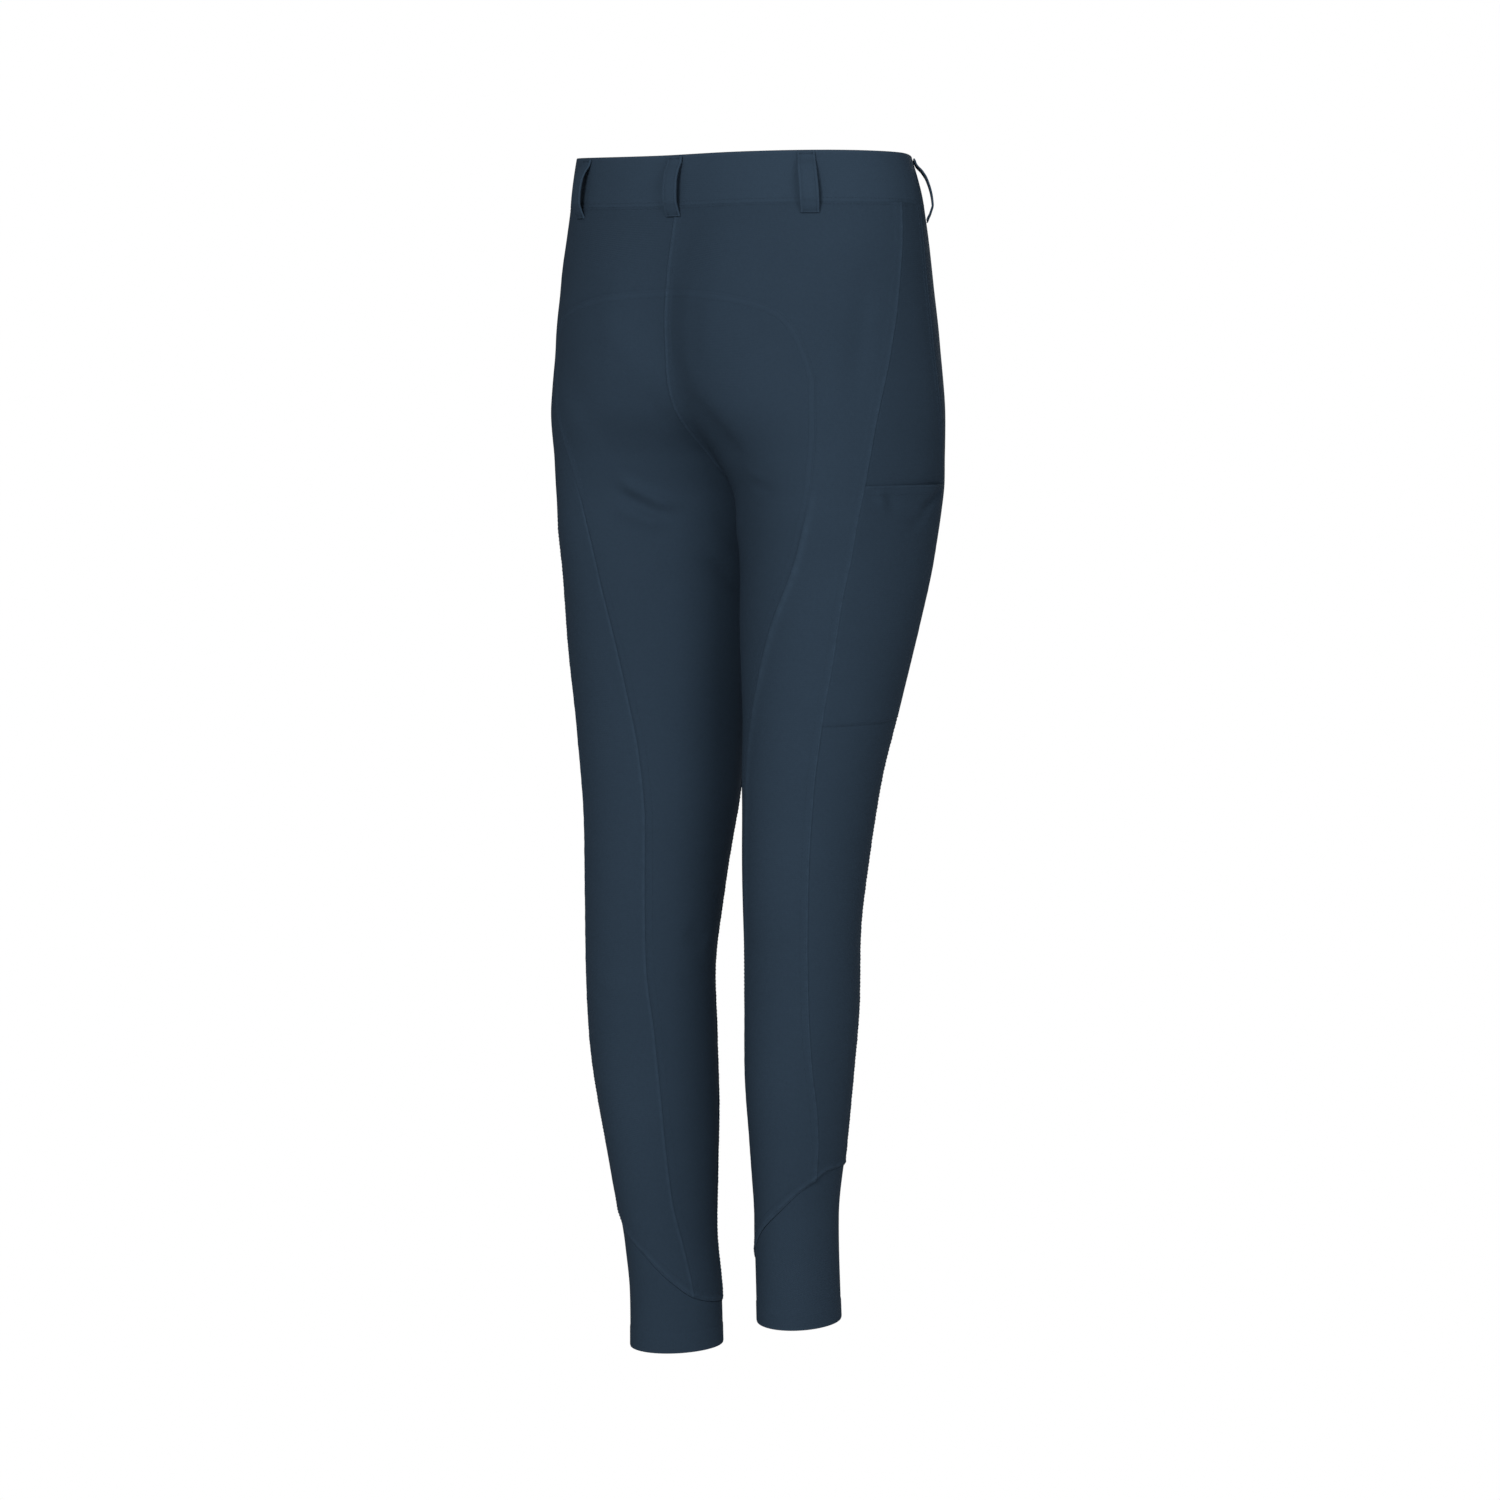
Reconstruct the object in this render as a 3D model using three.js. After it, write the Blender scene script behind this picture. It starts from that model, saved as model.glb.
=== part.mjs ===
import * as THREE from "three";

// Cloth and seams, millimetres
const PANEL_THICK = 1.4;
const BAND_THICK = 2.2;
const BAND_PROUD = 0.4;
const POCKET_THICK = 1.2;
const CUFF_THICK = 1.2;
const LOOP_THICK = 1.3;
const SHIELD_THICK = 1.0;
const SEAM_GAP = 0.3;

// Heights from the middle of the waistband
const BAND_TOP = 20;
const BAND_LOW = -20;
const ARC_TOP = -86.5;
const SIDE_START = -45;
const ARC_LOW = -160;
const CROTCH = -250;
const CUFF_ZONE = -740;
const LEG_END = -940;
const HEM = -954;

// Stance of the worn garment: the right foot a little higher, the waist higher at the left and lower in front
const VIEW_ANGLE = 38;
const LEFT_SPREAD = 1.055;
const RIGHT_SPREAD = 0.94;
const FOOT_RISE = 21;
const LEFT_TIP = 7;
const FRONT_DIP = 20;
const CLEFT_ROUND = 28;
const HOLLOW_HALF_WIDTH = 56;

// Belt loops, waist tab and button
const LOOP_HALF_WIDTH = 7.2;
const LOOP_TOP = 18.5;
const LOOP_LOW = -29;
const LOOP_BOW = 6.3;
const MIDDLE_LOOP_CLEAR = 0.35;
const TAB_LENGTH = 24;
const TAB_RAMP = 23;
const BUTTON_RADIUS = 8.5;
const BUTTON_HIGH = 2.6;

// Pocket over the side panel
const POCKET_GAPE = 3;

const LEFT = 1;
const RIGHT = -1;

// One half of the figure, level by level: outer side, centres of the back and front ovals,
// their depths, their middle, the lean of the back oval toward the outer side and the hollow of the back
const SECTION_COLUMNS = [
  "z", "outer", "backCentre", "frontCentre", "front", "back", "middle", "lean", "hollow",
];
const SECTIONS = [
  [20, 157.5, 33, 33, 84, 84, 3, 0, 0],
  [-20, 165.5, 34, 34, 95, 90, 0, 0, 1],
  [-77, 169.5, 36, 30, 109, 108, -2, 0, 6],
  [-127, 174, 42, 33, 112, 116, -4, 0, 8],
  [-177, 176, 59, 43, 110, 114, -8, 0.04, 0],
  [-222, 172, 78, 69, 103, 101, -11, 0.1, 0],
  [-250, 170, 85, 85, 98, 95, -11, 0.12, 0],
  [-275, 168.5, 87, 87, 94, 93, -10, 0.11, 0],
  [-307, 165.5, 88, 88, 89, 90, -9, 0.07, 0],
  [-367, 158.5, 86, 86, 82, 82, -3, 0.03, 0],
  [-437, 147.5, 83, 83, 73, 73, 3, 0, 0],
  [-507, 137, 79, 79, 63, 64, 11, 0, 0],
  [-567, 132, 79, 79, 57, 59, 18, 0, 0],
  [-627, 129, 79.5, 79.5, 52, 54, 23, 0, 0],
  [-687, 126, 78, 78, 50, 56, 20, 0, 0],
  [-747, 119, 74, 74, 48, 54, 18, 0, 0],
  [-807, 111, 71, 71, 43, 49, 15, 0, 0],
  [-867, 102, 67, 67, 39, 44, 12, 0, 0],
  [-907, 100.5, 65, 65, 39, 43, 9, 0, 0],
  [-960, 101, 65.5, 65.5, 40, 44, 7, 0, 0],
];

// Seams as angles round the half section: 0 outer side, 90 back, 180 inseam, minus toward the front
const BACK_SEAM = [
  [-20, 6], [-50, 7], [-90, 10.5], [-136, 16.5], [-184, 23.5], [-241, 30], [-290, 36], [-340, 42],
  [-391, 45], [-441, 48.5], [-491, 49], [-592, 47], [-684, 44], [-726, 39], [-768, 31], [-802, 27.5],
  [-830, 28],
];
const FRONT_SEAM = [
  [-20, -12], [-119, -12], [-160, -13.5], [-197, -18], [-247, -27], [-300, -34], [-370, -40],
  [-448, -43], [-680, -40], [-770, -36], [-830, -34],
];
const INNER_FRONT_SEAM = [
  [-250, 180], [-254, 188], [-265, 194], [-285, 200], [-330, 207], [-400, 213], [-500, 216],
  [-700, 214], [-840, 210], [-920, 208],
];
// Round top of the seat patch: height, angle on the left, angle on the right
const PATCH_ARC = [
  [-87.5, 96, 95.5], [-89, 87, 86.5], [-91.5, 78, 78], [-95.5, 68.5, 69.5], [-101, 59, 62],
  [-109, 51, 56], [-130, 47, 50.5], [-160, 51, 47.5],
];
const PATCH_ARC_CORNER = 6;
// Side edge of the seat patch down to the cuff
const PATCH_EDGE = [
  [-160, 51, 47.5], [-193, 60, 49.7], [-224, 70, 54], [-256, 79, 59], [-289, 86, 66], [-322, 92, 75],
  [-361, 100, 88], [-409, 109, 102], [-445, 115, 112], [-480, 118, 118], [-528, 121, 121],
  [-618, 126, 126], [-684, 133, 133], [-784, 137, 137], [-822, 140, 140], [-870, 151, 151],
  [-915, 157, 157],
];
// Upper edge of the ankle cuff round the leg: angle, height
const CUFF_EDGE = [
  [-140, -917], [-110, -882], [-80, -848], [-50, -828], [-20, -821], [10, -821], [40, -834],
  [70, -853], [100, -871], [130, -893], [155, -907], [180, -913], [220, -917],
];

// Levels of the sewn grid below the arc and below the crotch
const PATCH_CENTRE_LEVELS = [-86.5, -107, -130, -158, -190, -220, -241, -250];
const LEG_LEVELS = [-253.6, -264.4, -282, -308, -345, -395, -447, -500, -545, -590, -635, -685, -740];
const ANKLE_LEVELS = [-785, -830, -875, -924, -940];
const BACK_COLUMNS = 10;
const SIDE_COLUMNS = 5;
const FRONT_COLUMNS = 8;
const PATCH_COLUMNS = 6;
const CUFF_STEPS = [0.1, 0.4, 0.7, 1];

const POCKET_MOUTH_LEVEL = -246.4;
const POCKET_END_LEVEL = -447;
const SHIELD_FIRST_ROW = 1;
const SHIELD_LAST_ROW = 10;

const radians = (degrees) => (degrees * Math.PI) / 180;
const degrees = (angle) => (angle * 180) / Math.PI;
const mix = (a, b, t) => a + (b - a) * t;
const clamp = (value, low, high) => Math.min(Math.max(value, low), high);

function smooth(t) {
  const s = clamp(t, 0, 1);
  return s * s * (3 - 2 * s);
}

// Smooth curve through a table that never overshoots its rows
function curve(table, column) {
  const rows = [...table].sort((a, b) => a[0] - b[0]);
  const xs = rows.map((row) => row[0]);
  const ys = rows.map((row) => row[column]);
  const last = xs.length - 1;
  const step = [];
  const slope = [];
  for (let i = 0; i < last; i += 1) {
    step.push(xs[i + 1] - xs[i]);
    slope.push((ys[i + 1] - ys[i]) / step[i]);
  }
  const tangent = xs.map((x, i) => {
    if (i === 0) return slope[0];
    if (i === last) return slope[last - 1];
    const before = slope[i - 1];
    const after = slope[i];
    if (before * after <= 0) return 0;
    const w1 = 2 * step[i] + step[i - 1];
    const w2 = step[i] + 2 * step[i - 1];
    return (w1 + w2) / (w1 / before + w2 / after);
  });
  return (value) => {
    const x = clamp(value, xs[0], xs[last]);
    let i = 0;
    while (i < last - 1 && x > xs[i + 1]) i += 1;
    const t = (x - xs[i]) / step[i];
    const t2 = t * t;
    const t3 = t2 * t;
    const start = (2 * t3 - 3 * t2 + 1) * ys[i] + (t3 - 2 * t2 + t) * step[i] * tangent[i];
    const end = (3 * t2 - 2 * t3) * ys[i + 1] + (t3 - t2) * step[i] * tangent[i + 1];
    return start + end;
  };
}

const sectionCurves = {};
SECTION_COLUMNS.slice(1).forEach((name, i) => {
  sectionCurves[name] = curve(SECTIONS, i + 1);
});

function section(z) {
  const values = {};
  for (const name of SECTION_COLUMNS.slice(1)) values[name] = sectionCurves[name](z);
  return values;
}

const backSeam = curve(BACK_SEAM, 1);
const frontSeam = curve(FRONT_SEAM, 1);
const innerFrontSeam = curve(INNER_FRONT_SEAM, 1);
const cuffEdge = curve(CUFF_EDGE, 1);
const patchEdge = { [LEFT]: curve(PATCH_EDGE, 1), [RIGHT]: curve(PATCH_EDGE, 2) };

function sideColumn(side) {
  return side === LEFT ? 1 : 2;
}

// Angle at which a half section meets the middle plane
function meetAngle(z, centreName) {
  if (z <= CROTCH) return 180;
  const s = section(z);
  const centre = s[centreName];
  return degrees(Math.acos(-clamp(centre / (s.outer - centre), -1, 1)));
}

const backMeet = (z) => meetAngle(z, "backCentre");
const frontMeet = (z) => -meetAngle(z, "frontCentre");

// Point of the garment's outer face at an angle and a level
function surface(side, angle, z) {
  const s = section(z);
  const a = radians(angle);
  const atBack = Math.sin(a) >= 0;
  const centre = atBack ? s.backCentre : s.frontCentre;
  const half = s.outer - centre;
  const x = centre + half * Math.cos(a);
  const lean = s.lean * Math.sin(2 * a);
  let y = atBack ? s.back * (Math.sin(a) + lean) : s.front * Math.sin(a);
  if (z > CROTCH) {
    const cosine = clamp(centre / half, -1, 1);
    const sine2 = 1 - cosine * cosine;
    const round = CLEFT_ROUND * sine2;
    if (Math.abs(x) < round) {
      const depth = atBack ? s.back : s.front;
      const lift = (depth * cosine * CLEFT_ROUND * Math.sqrt(sine2)) / half / 2;
      y += (atBack ? 1 : -1) * lift * (1 - Math.abs(x) / round) ** 2;
    }
    if (atBack && Math.abs(x) < HOLLOW_HALF_WIDTH) {
      y -= s.hollow * (1 - (x / HOLLOW_HALF_WIDTH) ** 2) ** 2;
    }
  }
  const inLeg = smooth((CROTCH - z) / 250);
  const spread = 1 + ((side === LEFT ? LEFT_SPREAD : RIGHT_SPREAD) - 1) * inLeg;
  const across = radians(VIEW_ANGLE);
  const dx = -Math.cos(across);
  const dy = -Math.sin(across);
  const px = side * (x - s.backCentre);
  const along = (px * dx + y * dy) * (spread - 1);
  const through = (-px * dy + y * dx) * (1 / spread - 1);
  const X = side * s.backCentre + px + along * dx - through * dy;
  const Y = s.middle + y + along * dy + through * dx;
  const share = Math.abs(x) / s.outer;
  const foot = smooth((CROTCH - z) / 150);
  const rise = FOOT_RISE * smooth((-z - 60) / 640) * mix(share, 1, foot);
  const tip = side === LEFT ? LEFT_TIP * share * share : 0;
  const dip = FRONT_DIP * (Math.min(Y, 0) / 110) ** 2;
  return new THREE.Vector3(X, Y, z - side * rise + smooth((z + 160) / 160) * (tip - dip));
}

function normalAt(side, angle, z) {
  const a = surface(side, angle + 0.6, z).sub(surface(side, angle - 0.6, z));
  const b = surface(side, angle, z + 0.6).sub(surface(side, angle, z - 0.6));
  const n = a.cross(b).normalize();
  return side === LEFT ? n : n.negate();
}

// Level of a grid row at an angle: rows bend to meet the slanted edge of the leg above the cuff
function rowHeight(angle, level) {
  if (level >= CUFF_ZONE) return level;
  const share = (CUFF_ZONE - level) / (CUFF_ZONE - LEG_END);
  return mix(CUFF_ZONE, cuffEdge(angle > 220 ? angle - 360 : angle), share);
}

function seamSpot(seam, level) {
  let z = level;
  for (let i = 0; i < 8; i += 1) z = rowHeight(seam(z), level);
  return { angle: seam(z), z };
}

function vertex(side, angle, z) {
  return { point: surface(side, angle, z), normal: normalAt(side, angle, z), angle, z };
}

// Grid of one panel: each row runs from a left spot to a right spot
function panelGrid(side, leftSpots, rightSpots, columns, bulge) {
  return leftSpots.map((from, i) => {
    const to = rightSpots[i];
    const row = [];
    for (let j = 0; j <= columns; j += 1) {
      const t = j / columns;
      const angle = mix(from.angle, to.angle, t);
      const level = mix(from.level ?? from.z, to.level ?? to.z, t);
      let z = rowHeight(angle, level);
      if (j === 0) z = from.z;
      if (j === columns) z = to.z;
      const extra = bulge ? bulge(i, j) : { angle: 0, z: 0 };
      row.push(vertex(side, angle + extra.angle, z + extra.z));
    }
    return row;
  });
}

// Space between neighbouring pieces: each edge moves inward by half the gap, with mitred corners
function inset(grid, distance) {
  const rows = grid.length - 1;
  const columns = grid[0].length - 1;
  const loop = [];
  for (let j = 0; j < columns; j += 1) loop.push([0, j]);
  for (let i = 0; i < rows; i += 1) loop.push([i, columns]);
  for (let j = columns; j > 0; j -= 1) loop.push([rows, j]);
  for (let i = rows; i > 0; i -= 1) loop.push([i, 0]);
  const at = ([i, j]) => grid[i][j].point;
  const middle = Math.floor(columns / 2);
  const along = at([0, middle + 1]).clone().sub(at([0, middle]));
  const down = at([1, middle]).clone().sub(at([0, middle]));
  const sign = Math.sign(along.cross(down).dot(grid[0][middle].normal));
  const moved = loop.map((spot, k) => {
    const before = at(loop[(k + loop.length - 1) % loop.length]);
    const after = at(loop[(k + 1) % loop.length]);
    const here = at(spot);
    const normal = grid[spot[0]][spot[1]].normal;
    const t1 = here.clone().sub(before).normalize();
    const t2 = after.clone().sub(here).normalize();
    const n1 = normal.clone().cross(t1).normalize().multiplyScalar(sign);
    const n2 = normal.clone().cross(t2).normalize().multiplyScalar(sign);
    const scale = distance / Math.max(1 + n1.dot(n2), 0.4);
    return here.clone().addScaledVector(n1.add(n2), scale);
  });
  loop.forEach(([i, j], k) => {
    grid[i][j] = { ...grid[i][j], point: moved[k] };
  });
  return grid;
}

// Closed sheet between an outer and an inner face laid off a grid along its normals
function sheetSolid(name, grid, outerOffset, innerOffset, colour, roughness, closed = false) {
  const rows = grid.length;
  const columns = grid[0].length;
  const offset = (value, i, j) => (typeof value === "function" ? value(i, j) : value);
  const positions = [];
  for (const value of [outerOffset, innerOffset]) {
    for (let i = 0; i < rows; i += 1) {
      for (let j = 0; j < columns; j += 1) {
        const v = grid[i][j];
        const p = v.point.clone().addScaledVector(v.normal, offset(value, i, j));
        positions.push(p.x, p.y, p.z);
      }
    }
  }
  const size = rows * columns;
  const id = (i, j, face) => face * size + i * columns + (j % columns);
  const spans = closed ? columns : columns - 1;
  const faces = [];
  const quad = (a, b, c, d) => faces.push(a, b, c, a, c, d);
  for (let i = 0; i < rows - 1; i += 1) {
    for (let j = 0; j < spans; j += 1) {
      const k = (j + 1) % columns;
      const a = grid[i][j].point;
      const b = grid[i][k].point;
      const c = grid[i + 1][k].point;
      const d = grid[i + 1][j].point;
      const turn = a.distanceTo(c) > b.distanceTo(d) ? 1 : 0;
      const outer = [id(i, j, 0), id(i + 1, j, 0), id(i + 1, k, 0), id(i, k, 0)];
      const inner = outer.map((value) => value + size).reverse();
      if (turn) {
        quad(outer[1], outer[2], outer[3], outer[0]);
        quad(inner[0], inner[1], inner[2], inner[3]);
      } else {
        quad(outer[0], outer[1], outer[2], outer[3]);
        quad(inner[1], inner[2], inner[3], inner[0]);
      }
    }
  }
  for (let j = 0; j < spans; j += 1) {
    const k = (j + 1) % columns;
    const e = rows - 1;
    quad(id(0, j, 0), id(0, k, 0), id(0, k, 1), id(0, j, 1));
    quad(id(e, j, 0), id(e, j, 1), id(e, k, 1), id(e, k, 0));
  }
  if (!closed) {
    const e = columns - 1;
    for (let i = 0; i < rows - 1; i += 1) {
      quad(id(i, 0, 0), id(i, 0, 1), id(i + 1, 0, 1), id(i + 1, 0, 0));
      quad(id(i, e, 0), id(i + 1, e, 0), id(i + 1, e, 1), id(i, e, 1));
    }
  }
  return meshOf(name, positions, faces, colour, roughness);
}

function meshOf(name, positions, faces, colour, roughness, metalness = 0) {
  let volume = 0;
  const p = (i) => new THREE.Vector3(positions[3 * i], positions[3 * i + 1], positions[3 * i + 2]);
  for (let i = 0; i < faces.length; i += 3) {
    volume += p(faces[i]).dot(p(faces[i + 1]).cross(p(faces[i + 2])));
  }
  const ordered = volume > 0 ? faces : [...faces].reverse();
  const geometry = new THREE.BufferGeometry();
  geometry.setAttribute("position", new THREE.Float32BufferAttribute(positions, 3));
  geometry.setIndex(ordered);
  geometry.computeVertexNormals();
  const material = new THREE.MeshStandardMaterial({ color: colour, roughness, metalness });
  const mesh = new THREE.Mesh(geometry, material);
  mesh.name = name;
  return mesh;
}

const PANEL_COLOUR = 0x2a3643;
const SEAT_COLOUR = 0x283441;
const CUFF_COLOUR = 0x27323f;
const BAND_COLOUR = 0x2b3744;
const METAL_COLOUR = 0x3a4048;

const group = new THREE.Group();
group.name = "riding_breeches";

// Rows of levels shared by the back, side and front panels
const sideLevels = [];
for (let i = 0; i <= 3; i += 1) sideLevels.push(mix(BAND_LOW, SIDE_START, i / 3));
const arcSteps = PATCH_ARC.length;
for (let i = 1; i <= arcSteps; i += 1) sideLevels.push(mix(SIDE_START, ARC_LOW, i / arcSteps));
const hipLevels = [0.8, 0.6, 0.4, 0.2, 0].map((t) => CROTCH + (ARC_LOW - CROTCH) * t * t);
const lowLevels = [...hipLevels, ...LEG_LEVELS, ...ANKLE_LEVELS];
sideLevels.push(...lowLevels);

function halfOfBreeches(side) {
  const word = side === LEFT ? "left" : "right";
  const column = sideColumn(side);
  const spot = (seam) => (level) => ({ ...seamSpot(seam, level), level });
  const outerBack = sideLevels.map(spot(backSeam));
  const outerFront = sideLevels.map(spot(frontSeam));
  const arc = PATCH_ARC.map((row) => ({ angle: row[column], z: row[0] }));
  const edge = lowLevels.map(spot(patchEdge[side]));
  const backTop = [0, 1, 2, 3].map((i) => {
    const z = mix(BAND_LOW, ARC_TOP, i / 3);
    return { angle: backMeet(z), z };
  });
  const innerLevels = [...LEG_LEVELS, ...ANKLE_LEVELS];
  const innerBack = innerLevels.map(spot(innerFrontSeam));
  const innerFront = innerBack.map((s) => ({ ...s, angle: s.angle - 360 }));
  const frontMiddle = sideLevels.filter((z) => z >= CROTCH).map((z) => ({ angle: frontMeet(z), z }));

  const back = panelGrid(side, [...backTop, ...arc, ...edge], outerBack, BACK_COLUMNS);
  const sidePanel = panelGrid(side, outerBack, outerFront, SIDE_COLUMNS);
  const front = panelGrid(side, outerFront, [...frontMiddle, ...innerFront], FRONT_COLUMNS);

  const corner = PATCH_ARC_CORNER - 1;
  const patchLeft = [...arc.slice(corner), ...edge];
  const patchRight = [...PATCH_CENTRE_LEVELS.map((z) => ({ angle: backMeet(z), z })), ...innerBack];
  const topSpots = [...arc.slice(0, corner + 1).reverse(), patchRight[0]];
  const topStart = patchLeft[0];
  const topEnd = patchRight[0];
  const fade = [1, 0.62, 0.32, 0.1];
  const bulge = (i, j) => {
    const t = j / PATCH_COLUMNS;
    const share = fade[i] ?? 0;
    return {
      angle: share * (topSpots[j].angle - mix(topStart.angle, topEnd.angle, t)),
      z: share * (topSpots[j].z - mix(topStart.z, topEnd.z, t)),
    };
  };
  const patch = panelGrid(side, patchLeft, patchRight, PATCH_COLUMNS, bulge);

  const first = sideLevels.findIndex((z) => Math.abs(z - POCKET_MOUTH_LEVEL) < 0.5);
  const last = sideLevels.indexOf(POCKET_END_LEVEL);
  const pocket = sidePanel.slice(first, last + 1).map((row) => [...row]);
  const shield = front.slice(SHIELD_FIRST_ROW, SHIELD_LAST_ROW + 1).map((row) => row.slice(-2));

  const cuffRows = [2, 1].map((up) => {
    const ends = [back, sidePanel, front].map((grid) => grid[grid.length - up].slice(0, -1));
    return [...patch[patch.length - up].slice(1).reverse(), ...ends.flat()];
  });

  const lay = (name, grid, colour, roughness) => {
    const cut = inset(grid, SEAM_GAP / 2);
    group.add(sheetSolid(name, cut, 0, -PANEL_THICK, colour, roughness));
  };
  lay(`front_panel_${word}`, front, PANEL_COLOUR, 0.85);
  lay(`side_panel_${word}`, sidePanel, PANEL_COLOUR, 0.85);
  lay(`back_panel_${word}`, back, PANEL_COLOUR, 0.85);
  lay(`seat_patch_${word}`, patch, SEAT_COLOUR, 0.9);

  const pocketRows = pocket.length - 1;
  const gape = (i, j) => {
    const across = Math.sin((Math.PI * j) / SIDE_COLUMNS);
    const down = Math.max(0, 1 - (pocket[0][0].z - pocket[i][0].z) / 70);
    return i === pocketRows ? 0 : POCKET_GAPE * across * down * down;
  };
  inset(pocket, SEAM_GAP / 2);
  group.add(sheetSolid(
    `thigh_pocket_${word}`,
    pocket,
    (i, j) => SEAM_GAP + POCKET_THICK + gape(i, j),
    (i, j) => SEAM_GAP + gape(i, j),
    PANEL_COLOUR,
    0.85,
  ));
  group.add(ankleCuff(side, word, cuffRows));
  return shield;
}

// Ankle cuff: a tube whose top lies under the last rows of the leg, on the same points
function ankleCuff(side, word, tucked) {
  const below = CUFF_STEPS.map((t) => tucked[1].map((v) => vertex(side, v.angle, mix(v.z, HEM, t))));
  const outer = -PANEL_THICK - SEAM_GAP;
  const grid = [...tucked, ...below];
  return sheetSolid(`ankle_cuff_${word}`, grid, outer, outer - CUFF_THICK, CUFF_COLOUR, 0.8, true);
}

// Angles round one half of the waist at which the band, its loops and the panels have points
function waistAngles() {
  const angles = [];
  const add = (from, to, columns) => {
    for (let j = 0; j <= columns; j += 1) angles.push(mix(from, to, j / columns));
  };
  add(frontMeet(BAND_LOW), frontSeam(BAND_LOW), FRONT_COLUMNS);
  add(frontSeam(BAND_LOW), backSeam(BAND_LOW), SIDE_COLUMNS);
  add(backSeam(BAND_LOW), backMeet(BAND_LOW), BACK_COLUMNS);
  return [...new Set(angles.map((a) => Math.round(a * 1000) / 1000))];
}

// Angle at a sideways distance along the waist from another angle
function angleAway(from, distance) {
  const here = surface(LEFT, from, 0);
  const step = surface(LEFT, from + 1, 0).distanceTo(here);
  return from + distance / step;
}

// Angles of the belt loops, with the waist turned a little on the figure
const SIDE_LOOP_ANGLE = { [LEFT]: -22, [RIGHT]: -27 };
const BACK_LOOP_ANGLE = { [LEFT]: 55, [RIGHT]: 49 };

function waistband() {
  const nearMiddle = angleAway(backMeet(0), -LOOP_HALF_WIDTH);
  const anglesOf = (side) => {
    const loopEdges = [SIDE_LOOP_ANGLE[side], BACK_LOOP_ANGLE[side]].flatMap((angle) => [
      angleAway(angle, -LOOP_HALF_WIDTH),
      angleAway(angle, LOOP_HALF_WIDTH),
    ]);
    const extra = [...loopEdges, nearMiddle];
    const kept = waistAngles().filter((a) => extra.every((e) => Math.abs(a - e) > 1.6));
    const list = [...kept, ...extra].filter((a) => a > frontMeet(0) + 12 && a < backMeet(0) - 1);
    return list.sort((a, b) => a - b);
  };
  const stations = [];
  const put = (side, angle, out) => stations.push({ side, angle, out });
  const atX = (distance) => (z) => angleAway(frontMeet(z), distance);
  const middleBack = (z) => backMeet(z);
  put(RIGHT, atX(8), 0);
  put(LEFT, (z) => frontMeet(z), 0);
  put(LEFT, atX(12), 0);
  put(LEFT, atX(TAB_LENGTH), 0);
  for (const a of anglesOf(LEFT)) put(LEFT, () => a, 0);
  put(LEFT, middleBack, 0);
  for (const a of anglesOf(RIGHT).reverse()) put(RIGHT, () => a, 0);
  const out = BAND_THICK + SEAM_GAP;
  for (const t of [0, 0.25, 0.5, 0.75, 1]) {
    put(RIGHT, atX(12 + TAB_RAMP * (1 - t)), out * smooth(t));
  }
  put(LEFT, (z) => frontMeet(z), out);
  put(LEFT, atX(12), out);
  put(LEFT, atX(TAB_LENGTH), out);
  const levels = [BAND_TOP, 7, -7, BAND_LOW];
  const grid = levels.map((z) => stations.map((s) => vertex(s.side, s.angle(z), z)));
  const proud = (i, j) => BAND_PROUD + stations[j].out;
  const cut = inset(grid.map((row) => [...row]), SEAM_GAP / 2);
  grid[0].forEach((v, j) => {
    if (j > 0 && j < stations.length - 1) cut[0][j] = v;
  });
  group.add(sheetSolid(
    "waistband",
    cut,
    proud,
    (i, j) => proud(i, j) - BAND_THICK,
    BAND_COLOUR,
    0.85,
  ));
  return stations;
}

// Belt loop: a strip fixed at both ends that bows out over the band between them
function beltLoop(name, stations, clear = 0) {
  const profile = [
    [LOOP_TOP, 0], [LOOP_TOP - 5, 0], [9, 0.5], [2, 0.9], [-6, 1], [-14, 0.95], [-21, 0.5], [LOOP_LOW + 4.5, 0],
    [LOOP_LOW, 0],
  ];
  const grid = profile.map(([z]) => stations.map((s) => vertex(s.side, s.angle(z), z)));
  const base = (i) => {
    const overBand = smooth((profile[i][0] - BAND_LOW + 3) / 5);
    return SEAM_GAP + clear + BAND_PROUD * overBand + LOOP_BOW * profile[i][1];
  };
  group.add(sheetSolid(name, grid, (i) => base(i) + LOOP_THICK, base, BAND_COLOUR, 0.85));
}

function loopsOf() {
  const middle = angleAway(backMeet(0), -LOOP_HALF_WIDTH);
  const lag = backMeet(0) - middle;
  beltLoop("belt_loop_back_middle", [
    { side: LEFT, angle: (z) => backMeet(z) - lag },
    { side: LEFT, angle: (z) => backMeet(z) },
    { side: RIGHT, angle: (z) => backMeet(z) - lag },
  ], MIDDLE_LOOP_CLEAR);
  for (const [side, word] of [[LEFT, "left"], [RIGHT, "right"]]) {
    for (const [angle, place] of [[BACK_LOOP_ANGLE[side], "back"], [SIDE_LOOP_ANGLE[side], "side"]]) {
      const low = angleAway(angle, -LOOP_HALF_WIDTH);
      const high = angleAway(angle, LOOP_HALF_WIDTH);
      const between = waistAngles().filter((a) => a > low + 1.6 && a < high - 1.6);
      const list = [low, ...between, high];
      beltLoop(`belt_loop_${place}_${word}`, list.map((a) => ({ side, angle: () => a })));
    }
  }
}

// Fly shield behind the centre front, on the inner side of both front panels
function flyShield(leftColumns, rightColumns) {
  const grid = leftColumns.map((row, i) => [row[0], row[1], rightColumns[i][0]]);
  const outer = -PANEL_THICK - SEAM_GAP;
  group.add(sheetSolid("fly_shield", grid, outer, outer - SHIELD_THICK, PANEL_COLOUR, 0.85));
}

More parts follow.
